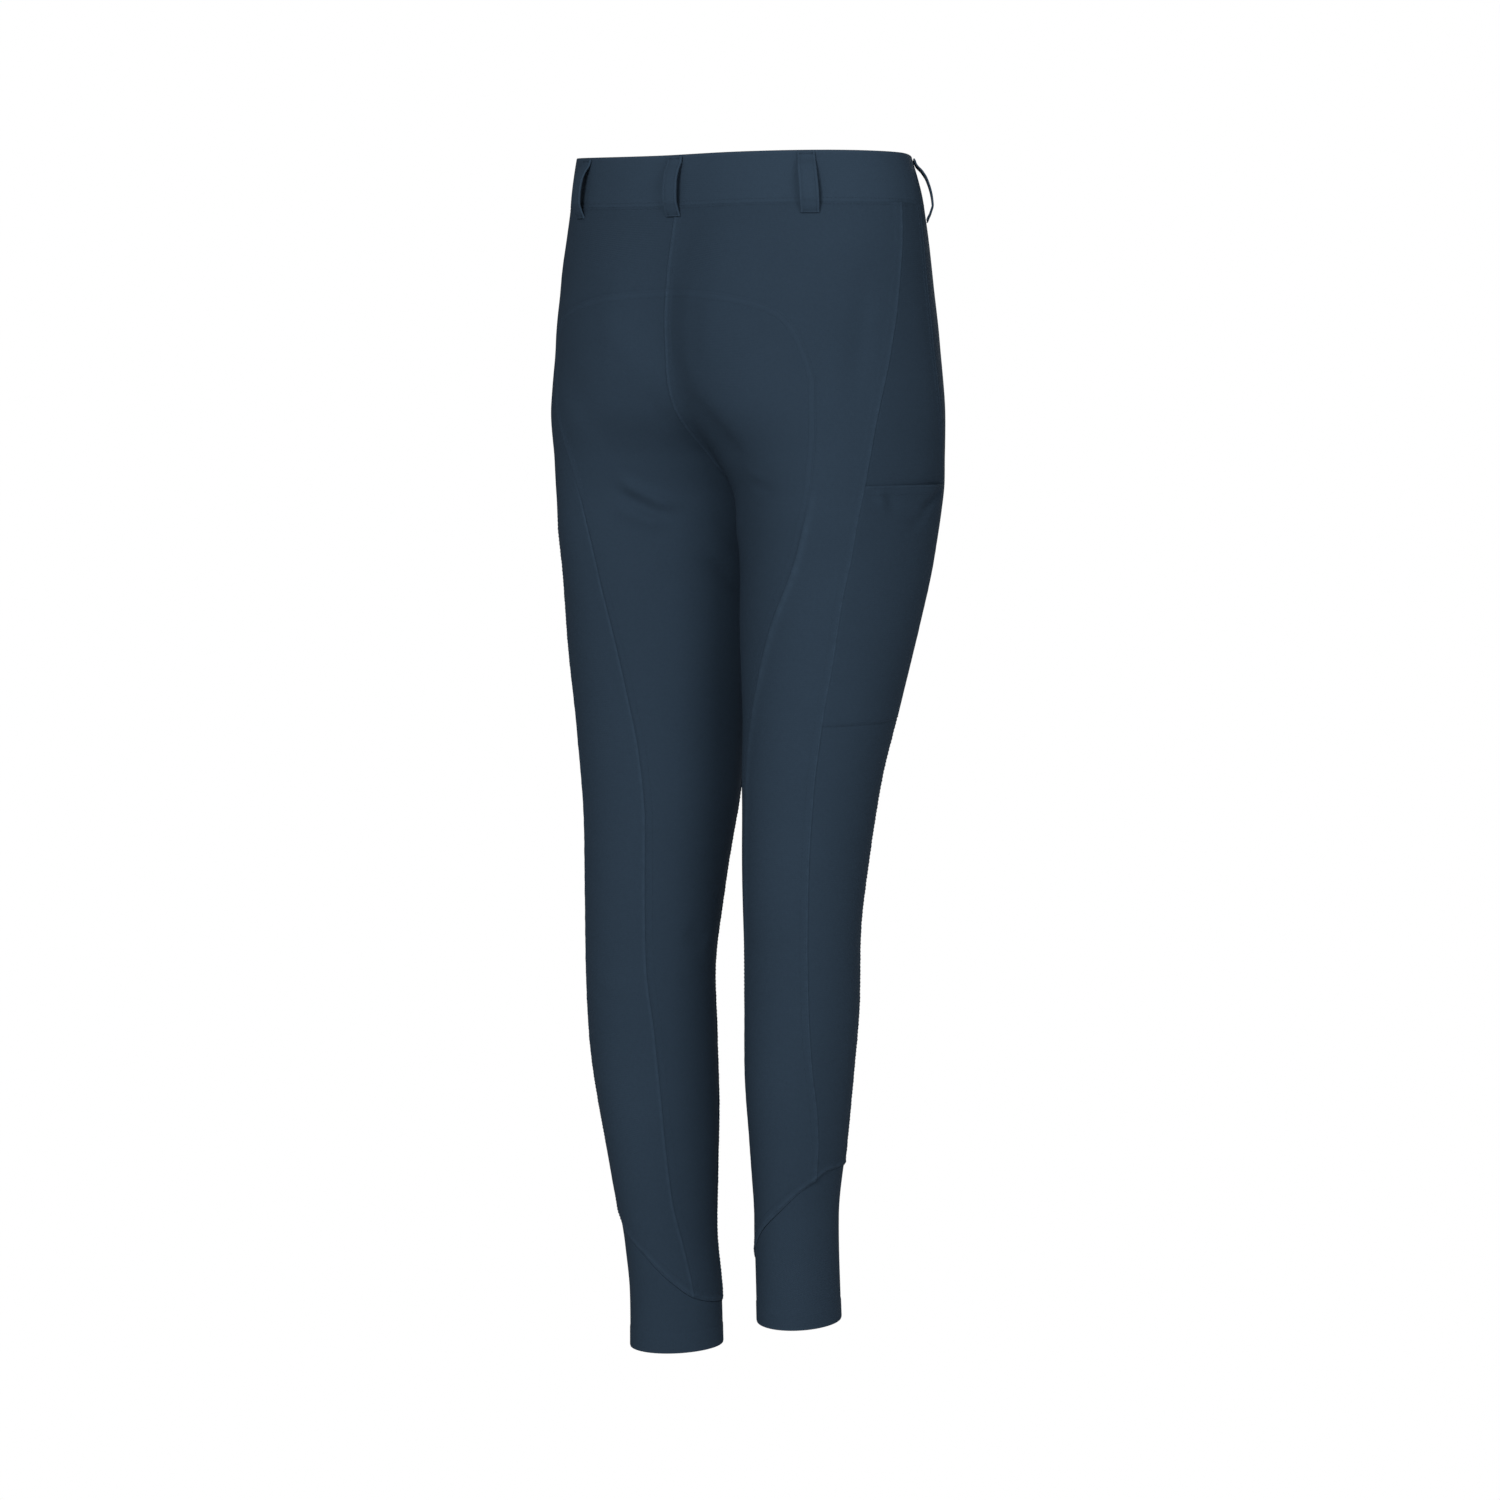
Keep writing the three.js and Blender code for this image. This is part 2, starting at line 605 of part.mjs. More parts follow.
// Waist button on the overlapping end of the band: a low turned disc with a dished face
function waistButton() {
  const angle = angleAway(frontMeet(0), 12);
  const spot = vertex(LEFT, angle, 0);
  const lift = BAND_PROUD + BAND_THICK + SEAM_GAP + SEAM_GAP + 0.15;
  const profile = [
    [0, 0], [BUTTON_RADIUS - 0.8, 0], [BUTTON_RADIUS, 0.8], [BUTTON_RADIUS, BUTTON_HIGH - 0.7],
    [BUTTON_RADIUS - 0.8, BUTTON_HIGH], [BUTTON_RADIUS - 2, BUTTON_HIGH], [BUTTON_RADIUS - 3, BUTTON_HIGH - 0.7],
    [0, BUTTON_HIGH - 0.7],
  ];
  const turns = 20;
  const frame = new THREE.Quaternion().setFromUnitVectors(new THREE.Vector3(0, 0, 1), spot.normal);
  const place = (radius, turn, height) => {
    const a = (2 * Math.PI * turn) / turns;
    const p = new THREE.Vector3(radius * Math.cos(a), radius * Math.sin(a), height + lift);
    return p.applyQuaternion(frame).add(spot.point);
  };
  const positions = [];
  const push = (p) => positions.push(p.x, p.y, p.z);
  push(place(0, 0, profile[0][1]));
  push(place(0, 0, profile[profile.length - 1][1]));
  const rings = profile.slice(1, -1);
  for (const [radius, height] of rings) {
    for (let k = 0; k < turns; k += 1) push(place(radius, k, height));
  }
  const faces = [];
  const id = (ring, k) => 2 + ring * turns + (k % turns);
  for (let k = 0; k < turns; k += 1) {
    faces.push(0, id(0, k + 1), id(0, k));
    for (let r = 0; r < rings.length - 1; r += 1) {
      faces.push(id(r, k), id(r, k + 1), id(r + 1, k + 1), id(r, k), id(r + 1, k + 1), id(r + 1, k));
    }
    faces.push(1, id(rings.length - 1, k), id(rings.length - 1, k + 1));
  }
  group.add(meshOf("waist_button", positions, faces, METAL_COLOUR, 0.4, 0.8));
}

const leftShield = halfOfBreeches(LEFT);
const rightShield = halfOfBreeches(RIGHT);
waistband();
loopsOf();
flyShield(leftShield, rightShield);
waistButton();

export default group;
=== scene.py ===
import bpy
import math
import numpy as np
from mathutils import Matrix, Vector
from mathutils.kdtree import KDTree


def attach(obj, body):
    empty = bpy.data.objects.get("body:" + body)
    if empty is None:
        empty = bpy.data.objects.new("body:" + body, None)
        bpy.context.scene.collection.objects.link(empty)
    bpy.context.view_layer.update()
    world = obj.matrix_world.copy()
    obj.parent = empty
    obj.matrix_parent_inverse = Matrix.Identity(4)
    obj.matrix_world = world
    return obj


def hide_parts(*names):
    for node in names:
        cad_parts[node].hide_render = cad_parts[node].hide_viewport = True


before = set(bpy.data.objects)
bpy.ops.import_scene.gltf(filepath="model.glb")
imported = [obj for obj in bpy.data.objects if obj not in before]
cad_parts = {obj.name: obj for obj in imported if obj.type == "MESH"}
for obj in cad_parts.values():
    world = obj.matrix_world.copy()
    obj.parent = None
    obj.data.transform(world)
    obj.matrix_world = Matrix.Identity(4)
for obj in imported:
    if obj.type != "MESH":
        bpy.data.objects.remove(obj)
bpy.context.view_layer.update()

MM = 0.001
LEFT, RIGHT = 1, -1
HALVES = ((LEFT, "left"), (RIGHT, "right"))

# Cloth and seams, millimetres
PANEL_THICK = 1.4
BAND_THICK = 2.2
BAND_PROUD = 0.4
BAND_EDGE = 0.03
BAND_ROW = 2.8
POCKET_THICK = 1.2
CUFF_THICK = 1.2
CUFF_INSET = 0.6
CUFF_TURN = 17
LOOP_THICK = 1.3
SHIELD_THICK = 1.0
LAY = 0.3
FELL = 6.8
ROW_NEAR = 1.5
ROW_FAR = 6.0

# Heights from the middle of the waistband
BAND_TOP = 20
BAND_LOW = -20
ARC_TOP = -86.5
SIDE_START = -45
ARC_LOW = -160
PATCH_JOIN = -200
CROTCH = -250
CUFF_ZONE = -740
LEG_END = -940
HEM = -954
POCKET_MOUTH = -246.4
POCKET_END = -447

# Stance of the worn garment, and the heights over which it sets in
VIEW_ANGLE = 38
LEFT_SPREAD = 1.055
RIGHT_SPREAD = 0.94
FOOT_RISE = 21
LEFT_TIP = 7
FRONT_DIP = 20
CLEFT_ROUND = 28
HOLLOW_HALF_WIDTH = 56
SPREAD_DROP = 250
RISE_START = -60
RISE_DROP = 640
WHOLE_LEG_DROP = 150
TIP_DEPTH = 160
FRONT_REACH = 110

# Belt loops, fly, waist tab, pocket mouth and raised seams
LOOP_BOW = 6.3
LOOP_TOP = 18.5
LOOP_LOW = -29
MIDDLE_LOOP_CLEAR = 0.35
SIDE_LOOP_ANGLE = {LEFT: -22, RIGHT: -27}
BACK_LOOP_ANGLE = {LEFT: 55, RIGHT: 49}
SHIELD_TOP = -28.3
SHIELD_END = -145.6
SHIELD_DEEP = 0.9
FLY_TURN = -118
FLY_END = -147
TAB_LENGTH = 24
TAB_RAMP = 23
POCKET_GAPE = 2.2
POCKET_SINK = 1.0
SIDE_RIDGE = 1.9
PATCH_TURN = 250
PATCH_CHANGE = 60

# One half of the figure, level by level
# z, outer, back centre, front centre, front, back, middle, lean, hollow of the back
SECTIONS = [
    [20, 157.5, 33, 33, 84, 84, 3, 0, 0],
    [-20, 165.5, 34, 34, 95, 90, 0, 0, 1],
    [-77, 169.5, 36, 30, 109, 108, -2, 0, 6],
    [-127, 174, 42, 33, 112, 116, -4, 0, 8],
    [-177, 176, 59, 43, 110, 114, -8, 0.04, 0],
    [-222, 172, 78, 69, 103, 101, -11, 0.1, 0],
    [-250, 170, 85, 85, 98, 95, -11, 0.12, 0],
    [-275, 168.5, 87, 87, 94, 93, -10, 0.11, 0],
    [-307, 165.5, 88, 88, 89, 90, -9, 0.07, 0],
    [-367, 158.5, 86, 86, 82, 82, -3, 0.03, 0],
    [-437, 147.5, 83, 83, 73, 73, 3, 0, 0],
    [-507, 137, 79, 79, 63, 64, 11, 0, 0],
    [-567, 132, 79, 79, 57, 59, 18, 0, 0],
    [-627, 129, 79.5, 79.5, 52, 54, 23, 0, 0],
    [-687, 126, 78, 78, 50, 56, 20, 0, 0],
    [-747, 119, 74, 74, 48, 54, 18, 0, 0],
    [-807, 111, 71, 71, 43, 49, 15, 0, 0],
    [-867, 102, 67, 67, 39, 44, 12, 0, 0],
    [-907, 100.5, 65, 65, 39, 43, 9, 0, 0],
    [-960, 101, 65.5, 65.5, 40, 44, 7, 0, 0],
]
# Seams as height and angle round the half section: 0 outer side, 90 back, 180 inseam
BACK_SEAM = [
    [-20, 6], [-50, 7], [-90, 10.5], [-136, 16.5], [-184, 23.5], [-241, 30], [-290, 36], [-340, 42],
    [-391, 45], [-441, 48.5], [-491, 49], [-592, 47], [-684, 44], [-726, 39], [-768, 31], [-802, 27.5],
    [-830, 28],
]
FRONT_SEAM = [
    [-20, -12], [-119, -12], [-160, -13.5], [-197, -18], [-247, -27], [-300, -34], [-370, -40],
    [-448, -43], [-680, -40], [-770, -36], [-830, -34],
]
INNER_FRONT_SEAM = [
    [-250, 180], [-254, 188], [-265, 194], [-285, 200], [-330, 207], [-400, 213], [-500, 216],
    [-700, 214], [-840, 210], [-920, 208],
]
# Round top of the seat patch: height, angle on the left, angle on the right
PATCH_ARC = [
    [-87.5, 96, 95.5], [-89, 87, 86.5], [-91.5, 78, 78], [-95.5, 68.5, 69.5], [-101, 59, 62],
    [-109, 51, 56], [-130, 47, 50.5], [-160, 51, 47.5],
]
PATCH_ARC_CORNER = 5
INSEAM_WRAP = 220
# Side edge of the seat patch down to the cuff: height, angle on the left, angle on the right
PATCH_EDGE = [
    [-160, 51, 47.5], [-193, 60, 49.7], [-224, 70, 54], [-256, 79, 59], [-289, 86, 66], [-322, 92, 75],
    [-361, 100, 88], [-409, 109, 102], [-445, 115, 112], [-480, 118, 118], [-528, 121, 121],
    [-618, 126, 126], [-684, 133, 133], [-784, 137, 137], [-822, 140, 140], [-870, 151, 151],
    [-915, 157, 157],
]
# Upper edge of the ankle cuff round the leg: angle, height
CUFF_EDGE = [
    [-140, -917], [-110, -882], [-80, -848], [-50, -828], [-20, -821], [10, -821], [40, -834],
    [70, -853], [100, -871], [130, -893], [155, -907], [180, -913], [220, -917],
]


# ---- Form of the worn garment ----

def mix(a, b, t):
    return a + (b - a) * t


def smooth(t):
    t = np.clip(t, 0, 1)
    return t * t * (3 - 2 * t)


def curve(table, column=1):
    """Smooth curve through a table that never overshoots its rows."""
    rows = sorted(table)
    x = np.array([row[0] for row in rows], float)
    y = np.array([row[column] for row in rows], float)
    step = np.diff(x)
    slope = np.diff(y) / step
    tangent = np.zeros_like(y)
    tangent[0], tangent[-1] = slope[0], slope[-1]
    for i in range(1, len(x) - 1):
        if slope[i - 1] * slope[i] > 0:
            w1 = 2 * step[i] + step[i - 1]
            w2 = step[i] + 2 * step[i - 1]
            tangent[i] = (w1 + w2) / (w1 / slope[i - 1] + w2 / slope[i])

    def at(value):
        v = np.clip(value, x[0], x[-1])
        i = np.clip(np.searchsorted(x, v, side="right") - 1, 0, len(step) - 1)
        t = (v - x[i]) / step[i]
        start = (2 * t**3 - 3 * t**2 + 1) * y[i] + (t**3 - 2 * t**2 + t) * step[i] * tangent[i]
        end = (3 * t**2 - 2 * t**3) * y[i + 1] + (t**3 - t**2) * step[i] * tangent[i + 1]
        return start + end

    return at


section_curves = [curve(SECTIONS, k) for k in range(1, 9)]
back_seam = curve(BACK_SEAM)
front_seam = curve(FRONT_SEAM)
inner_front_seam = curve(INNER_FRONT_SEAM)
cuff_edge = curve(CUFF_EDGE)
patch_edge = {LEFT: curve(PATCH_EDGE, 1), RIGHT: curve(PATCH_EDGE, 2)}


def surface(side, angle, z):
    """Points of the garment's outer face, millimetres."""
    angle, z = np.broadcast_arrays(np.asarray(angle, float), np.asarray(z, float))
    outer, back_centre, front_centre, front, back, middle, lean, hollow = [c(z) for c in section_curves]
    a = np.radians(angle)
    at_back = np.sin(a) >= 0
    centre = np.where(at_back, back_centre, front_centre)
    depth = np.where(at_back, back, front)
    half = outer - centre
    x = centre + half * np.cos(a)
    y = np.where(at_back, back * (np.sin(a) + lean * np.sin(2 * a)), front * np.sin(a))
    cosine = np.clip(centre / half, -1, 1)
    sine2 = 1 - cosine**2
    bend = np.maximum(CLEFT_ROUND * sine2, 1e-6)
    lift = depth * cosine * CLEFT_ROUND * np.sqrt(sine2) / half / 2
    near = (z > CROTCH) & (np.abs(x) < bend)
    y = y + np.where(near, np.where(at_back, 1, -1) * lift * (1 - np.abs(x) / bend) ** 2, 0)
    inward = np.clip(1 - (x / HOLLOW_HALF_WIDTH) ** 2, 0, 1) ** 2
    y = y - np.where(at_back & (z > CROTCH), hollow * inward, 0)
    in_leg = smooth((CROTCH - z) / SPREAD_DROP)
    spread = 1 + ((LEFT_SPREAD if side == LEFT else RIGHT_SPREAD) - 1) * in_leg
    dx, dy = -math.cos(math.radians(VIEW_ANGLE)), -math.sin(math.radians(VIEW_ANGLE))
    px = side * (x - back_centre)
    along = (px * dx + y * dy) * (spread - 1)
    through = (-px * dy + y * dx) * (1 / spread - 1)
    sideways = side * back_centre + px + along * dx - through * dy
    backward = middle + y + along * dy + through * dx
    share = np.abs(x) / outer
    whole_leg = smooth((CROTCH - z) / WHOLE_LEG_DROP)
    rise = FOOT_RISE * smooth((RISE_START - z) / RISE_DROP) * mix(share, 1, whole_leg)
    tip = LEFT_TIP * share**2 if side == LEFT else 0
    dip = FRONT_DIP * (np.minimum(backward, 0) / FRONT_REACH) ** 2
    upward = z - side * rise + smooth((z + TIP_DEPTH) / TIP_DEPTH) * (tip - dip)
    return np.stack([sideways, backward, upward], -1)


def slopes(side, angle, z, step):
    """Change of place round the garment and up it, over twice the step."""
    round_it = surface(side, angle + step, z) - surface(side, angle - step, z)
    return round_it, surface(side, angle, z + step) - surface(side, angle, z - step)


def normals(side, angle, z):
    """Directions straight out of the cloth; on the middle they lean to neither side."""
    n = np.cross(*slopes(side, angle, z, 0.6)) * side
    on_middle = np.abs(surface(side, angle, z)[..., 0]) < 0.3
    n[..., 0] = np.where(on_middle, 0, n[..., 0])
    return n / np.linalg.norm(n, axis=-1, keepdims=True)


def per_degree(side, angle, z):
    """Width of one degree round the garment."""
    return np.linalg.norm(surface(side, angle + 1, z) - surface(side, angle, z), axis=-1)


def run_along(points, axis=0):
    """Length from the first point to each one, along a chain or a grid of points."""
    legs = np.linalg.norm(np.diff(points, axis=axis), axis=-1)
    return np.concatenate([np.zeros_like(np.take(legs, [0], axis)), np.cumsum(legs, axis)], axis)


def meet_angle(z, column):
    """Angle at which the half section reaches the middle of the garment."""
    outer, centre = section_curves[0](z), section_curves[column](z)
    c = np.clip(centre / (outer - centre), -1, 1)
    return np.where(np.asarray(z) > CROTCH, np.degrees(np.arccos(-c)), 180.0)


def back_meet(z):
    return meet_angle(z, 1)


def front_meet(z):
    return -meet_angle(z, 2)


def unwrapped(angle):
    """The same angle, counted from -140 to 220."""
    return np.where(angle > INSEAM_WRAP, angle - 360, angle)


def row_height(angle, level):
    """Level of a row at an angle: rows bend to meet the slanted edge of the leg above the cuff."""
    share = np.clip((CUFF_ZONE - level) / (CUFF_ZONE - LEG_END), 0, 1)
    return np.where(level >= CUFF_ZONE, level, mix(CUFF_ZONE, cuff_edge(unwrapped(angle)), share))


def seam_spots(seam, levels):
    """Angles and heights where a seam crosses the rows of a grid."""
    z = np.asarray(levels, float)
    for _ in range(8):
        z = row_height(seam(z), levels)
    return seam(z), z


# ---- Seam lines and what they do to the cloth beside them ----

class Line:
    """A seam on the garment, as angles and heights from its start to its end."""

    def __init__(self, side, angle, z):
        self.side = side
        self.angle = np.asarray(angle, float)
        self.z = np.asarray(z, float)
        self.points = surface(side, self.angle, self.z)
        self.run = run_along(self.points)
        self.tree = KDTree(len(self.points))
        for i, p in enumerate(self.points):
            self.tree.insert(p, i)
        self.tree.balance()

    def reach(self, points):
        """Distance from each point to the seam and the run along it."""
        flat = points.reshape(-1, 3)
        k = np.array([self.tree.find(p)[1] for p in flat])
        best = np.full(len(flat), 1e9)
        run = np.zeros(len(flat))
        for first in (np.clip(k - 1, 0, len(self.run) - 2), np.clip(k, 0, len(self.run) - 2)):
            a, b = self.points[first], self.points[first + 1]
            ab = b - a
            t = np.clip(((flat - a) * ab).sum(1) / np.maximum((ab * ab).sum(1), 1e-9), 0, 1)
            d = np.linalg.norm(flat - a - ab * t[:, None], axis=1)
            nearer = d < best
            best = np.where(nearer, d, best)
            run = np.where(nearer, self.run[first] + t * (self.run[first + 1] - self.run[first]), run)
        return best.reshape(points.shape[:-1]), run.reshape(points.shape[:-1])

    def beside(self, distance, start=0.0, end=1.0, pitch=3.2):
        """Angles and heights of a row of stitches beside the seam."""
        total = self.run[-1]
        stations = np.arange(total * start + pitch / 2, total * end, pitch)
        angle = np.interp(stations, self.run, self.angle)
        z = np.interp(stations, self.run, self.z)
        p = surface(self.side, angle, z)
        t = np.gradient(p, axis=0)
        t /= np.linalg.norm(t, axis=1, keepdims=True)
        n = normals(self.side, angle, z)
        across = np.cross(n, t) * distance
        pa, pz = slopes(self.side, angle, z, 0.5)
        aa, az, zz = (pa * pa).sum(1), (pa * pz).sum(1), (pz * pz).sum(1)
        ra, rz = (pa * across).sum(1), (pz * across).sum(1)
        fall = aa * zz - az * az
        return angle + (ra * zz - rz * az) / fall, z + (rz * aa - ra * az) / fall


def unevenness(run, seed):
    """Slow change of a seam's pull along it, from -1 to 1."""
    waves = ((11.3, 0.5), (17.9, 0.35), (31.0, 0.3), (6.7, 0.18))
    return sum(w * np.sin(run * 2 * math.pi / p + seed * (i + 1.7)) for i, (p, w) in enumerate(waves))


def pull(d, run, seed, size, fade):
    """Unevenness of a seam that dies out away from it."""
    return size * unevenness(run, seed) * np.exp(-d / fade)


def band_between(d, low, high, soft):
    """1 between two distances, with soft edges."""
    return smooth((d - low) / soft + 0.5) * (1 - smooth((d - high) / soft + 0.5))


def ripple_at(d, centre, width):
    """A soft ridge at one distance."""
    return np.exp(-(((d - centre) / width) ** 2))


# Each profile gives, at a distance from its seam, the cloth's relief in millimetres and its painted light
# and shade: painted highlights on rolls and ridges, painted shade on the seam line

def plain_seam(d, run, seed):
    """The side of a seam that lies under: it sinks a little towards the seam."""
    relief = -0.22 * ripple_at(d, 0, 1.3) + pull(d, run, seed, 0.08, 8)
    # Painted shade along the seam line
    return relief, -0.5 * ripple_at(d, 0, 0.9)


def felled_seam(d, run, seed):
    """The side of a seam that the allowance is turned to: a rounded roll, then a flat double layer."""
    layer = 0.22 * band_between(d, 0.2, FELL, 1.6)
    dents = 0.05 * ripple_at(d, ROW_NEAR, 0.45) + 0.06 * ripple_at(d, ROW_FAR, 0.45)
    relief = 0.34 * ripple_at(d, 0.9, 1.2) + layer - dents + pull(d, run, seed, 0.12, 10)
    # Painted highlight on the roll, uneven along the seam
    return relief, ripple_at(d, 0.8, 1.2) * (0.8 + 0.4 * unevenness(run, seed + 1))


def side_fell(d, run, seed):
    """The back panel at the outer-back seam, which stands up as a soft ridge."""
    relief, painted_light_and_shade = felled_seam(d, run, seed)
    return relief + SIDE_RIDGE * np.exp(-d / 11), painted_light_and_shade


def side_under(d, run, seed):
    """The side panel and the pocket at the same ridge."""
    relief, painted_light_and_shade = plain_seam(d, run, seed)
    return relief - 0.15 * ripple_at(d, 0, 1.0) + SIDE_RIDGE * np.exp(-d / 14), painted_light_and_shade


def bound_seam(d, run, seed):
    """The patch along its edge: a broad soft roll round the top, plain further down the leg."""
    low = smooth((run - PATCH_TURN) / PATCH_CHANGE)
    roll = 0.26 * ripple_at(d, 1.6, 2.2) + 0.12 * band_between(d, 0.2, FELL, 2.2)
    relief = mix(roll, -0.2 * ripple_at(d, 0, 1.3), low) + pull(d, run, seed, 0.06, 10)
    # Painted highlight beside the roll round the top, painted shade on the seam line further down
    return relief, mix(0.36 * ripple_at(d, 2.4, 3.4), -0.5 * ripple_at(d, 0, 0.8), low)


def patch_side(d, run, seed):
    """The back panel along the patch: plain round the top, the roll further down the leg."""
    low = smooth((run - PATCH_TURN) / PATCH_CHANGE)
    centre, width = (2.6, 3.0) if seed > 0 else (1.1, 1.3)
    roll = 0.32 * ripple_at(d, centre, width) + 0.16 * band_between(d, 0.2, FELL, 2.0)
    relief = mix(-0.06 * ripple_at(d, 0, 1.5), roll, low) + pull(d, run, seed, 0.08, 10)
    # Painted highlight on the roll further down the leg
    return relief, low * ripple_at(d, centre, width) * (0.8 + 0.3 * unevenness(run, seed + 3))


def centre_seam(d, run, seed):
    """The seams down the middle, turned to the wearer's right."""
    if seed < 0:
        return plain_seam(d, run, seed)
    relief, painted_light_and_shade = felled_seam(d, run, seed)
    # Broader painted highlight on the middle seam's ridge
    return relief + 0.2 * ripple_at(d, 1.4, 1.6), painted_light_and_shade + 0.5 * ripple_at(d, 1.4, 1.6)


def waist_seam(d, run, seed):
    """Panels below the waistband: nearly flush, with small puckers."""
    puckers = pull(d, run, seed, 0.16, 7)
    # Painted light and shade that follow the puckers
    return puckers, 0.5 * puckers


def pocket_edge(d, run, seed):
    """The pocket's mouth, turned under and stitched down."""
    relief = 0.14 * band_between(d, 0.4, FELL, 2.0) - 0.25 * ripple_at(d, 0, 0.9)
    relief += pull(d, run, seed, 0.16, 9)
    # Painted highlight along the turned mouth, uneven along it
    return relief, 0.3 * ripple_at(d, 1.0, 1.6) * (1 + unevenness(run, seed + 2))


def leg_end(d, run, seed):
    """The slanted end of the leg: a rounded roll that thins out onto the cuff."""
    relief = 0.4 * ripple_at(d, 2.6, 2.2) - 0.55 * ripple_at(d, 0, 1.2)
    relief += pull(d, run, seed, 0.12, 9)
    # Painted highlight on the roll at the end of the leg
    return relief, 0.9 * ripple_at(d, 1.8, 1.8) * (1 + 0.6 * unevenness(run, seed + 2))


# ---- Creases ----

# side, start angle, start height, end angle, end height, rise (minus for a trough), half width, bow
CREASES = [
    [LEFT, 131, -260, 101, -236, 3.8, 5.2, 2],
    [LEFT, 99, -246, 133, -272, -1.6, 4.0, 2],
    [LEFT, 127, -275, 99, -257, 2.8, 5.2, 2],
    [LEFT, 84, -112, 130, -214, 1.7, 13, -3],
    [LEFT, 60, -150, 100, -220, -1.4, 13, -2],
    [LEFT, 108, -166, 122, -196, -1.4, 9, 2],
    [RIGHT, 93, -70, 101, -165, 2.0, 15, 0],
    [RIGHT, 108, -168, 101, -228, -2.5, 20, 3],
    [RIGHT, 86, -240, 99, -235, 0.8, 4, 1],
    [RIGHT, 82, -249, 98, -246, -1.0, 4.5, 1],
    [RIGHT, 25, -76, 34, -176, -1.7, 10, 2],
    [RIGHT, 43, -134, 46, -186, -0.6, 7, 0],
    [RIGHT, 118, -262, 168, -300, 1.0, 9, 5],
    [LEFT, 34, -80, 40, -150, -0.8, 11, 2],
    [LEFT, 150, -285, 205, -318, 1.3, 8, 5],
    [LEFT, 152, -300, 206, -336, -1.3, 8, 5],
    [RIGHT, 150, -290, 205, -322, 1.3, 8, 5],
    [RIGHT, 152, -305, 206, -340, -1.3, 8, 5],
    [LEFT, -62, -228, -112, -254, 1.3, 7, -5],
    [LEFT, -58, -242, -108, -268, -1.4, 7, -5],
    [RIGHT, -64, -226, -112, -256, 1.4, 7, -5],
    [RIGHT, -60, -241, -110, -271, -1.5, 7, -5],
    [LEFT, -70, -206, -104, -218, 0.8, 7, -3],
    [RIGHT, -72, -200, -100, -212, 0.7, 7, -3],
    [LEFT, 62, -628, 118, -640, 0.5, 9, 5],
    [LEFT, 66, -642, 122, -656, -0.5, 9, 5],
    [LEFT, 162, -592, 186, -606, -1.2, 10, 3],
    [RIGHT, 58, -612, 112, -628, 0.5, 9, 5],
    [RIGHT, 64, -627, 118, -642, -0.5, 9, 5],
    [LEFT, -60, -572, -116, -588, 0.9, 9, -5],
    [RIGHT, -62, -566, -118, -580, 0.9, 9, -5],
    [LEFT, -66, -590, -110, -604, -0.8, 8, -4],
    [RIGHT, -68, -584, -112, -597, -0.8, 8, -4],
]
# The same for the pocket's cloth alone
POCKET_CREASES = [
    [RIGHT, -23, -250, -3, -268, -2.6, 4, 1],
    [RIGHT, -8, -272, 5, -281, -1.3, 5, 1],
    [RIGHT, 24, -249, 20, -266, 1.7, 4, 0],
    [RIGHT, 18, -252, 13, -270, -0.7, 5, 0],
    [LEFT, -21, -252, -3, -266, -1.7, 4.5, 1],
    [LEFT, -6, -268, 6, -280, -0.9, 5, 1],
    [LEFT, 25, -251, 18, -268, 0.9, 5, 0],
]


def crease_relief(side, angle, z, table):
    """Troughs and ridges of one half, each tapered at its ends and steeper on one flank."""
    total = np.zeros(np.shape(angle))
    for row_side, a0, z0, a1, z1, rise, width, bow in table:
        if row_side != side:
            continue
        middle = (a0 + a1) / 2
        turned = np.where(angle - middle > 180, angle - 360, angle)
        turned = np.where(turned - middle < -180, turned + 360, turned)
        beside = surface(side, np.array([middle - 1, middle + 1]), (z0 + z1) / 2)
        per = np.linalg.norm(beside[1] - beside[0]) / 2
        du, dv = (a1 - a0) * per, z1 - z0
        length = math.hypot(du, dv)
        u, v = (turned - a0) * per, z - z0
        s = (u * du + v * dv) / length
        d = (u * dv - v * du) / length
        t = np.clip(s / length, -0.5, 1.5)
        d = d - bow * 4 * t * (1 - t) * (1 if dv < 0 else -1)
        taper = np.exp(-((np.maximum(np.abs(t - 0.48) - 0.22, 0) / 0.22) ** 2))
        steep = np.where(d > 0, 1.25, 0.85)
        total += rise * taper * np.exp(-((d * steep / width) ** 2))
    return total


def broad_relief(points):
    """Soft unevenness of worn cloth."""
    x, y, z = points[..., 0], points[..., 1], points[..., 2]
    total = 0.16 * np.sin(x / 27 + z / 44 + 0.7) * np.sin(y / 31 - z / 61 + 1.1)
    total += 0.12 * np.sin(x / 40 - y / 36 + z / 52 + 2.3)
    total += 0.05 * np.sin(x / 16 + y / 19 - z / 33 + 0.4) * np.sin(z / 57 + y / 38)
    return total


# ---- Grids of the panels ----

EDGE_STEPS = np.array([0, 0.5, 1.0, 1.5, 2.1, 3.2, 4.6, 5.4, 6.0, 6.7, 7.6, 9.2, 12.0])


def stepped(start, end, pitch, fine_start=True, fine_end=True):
    """Values from start to end, closer together where an edge has to be drawn finely."""
    length = abs(end - start)
    first = EDGE_STEPS if fine_start else np.array([0.0])
    final = EDGE_STEPS if fine_end else np.array([0.0])
    count = max(2, int((length - first[-1] - final[-1]) / pitch) + 1)
    middle = np.linspace(first[-1], length - final[-1], count)
    values = np.concatenate([first[:-1], middle, length - final[::-1][1:]])
    return start + math.copysign(1, end - start) * values


def edged(near, total, columns):
    """Distances from 0 to a total: fine steps near both ends and even columns between."""
    middle = np.linspace(near[-1], total - near[-1], columns + 1)
    return np.concatenate([near[:-1], middle, total - near[::-1][1:]])


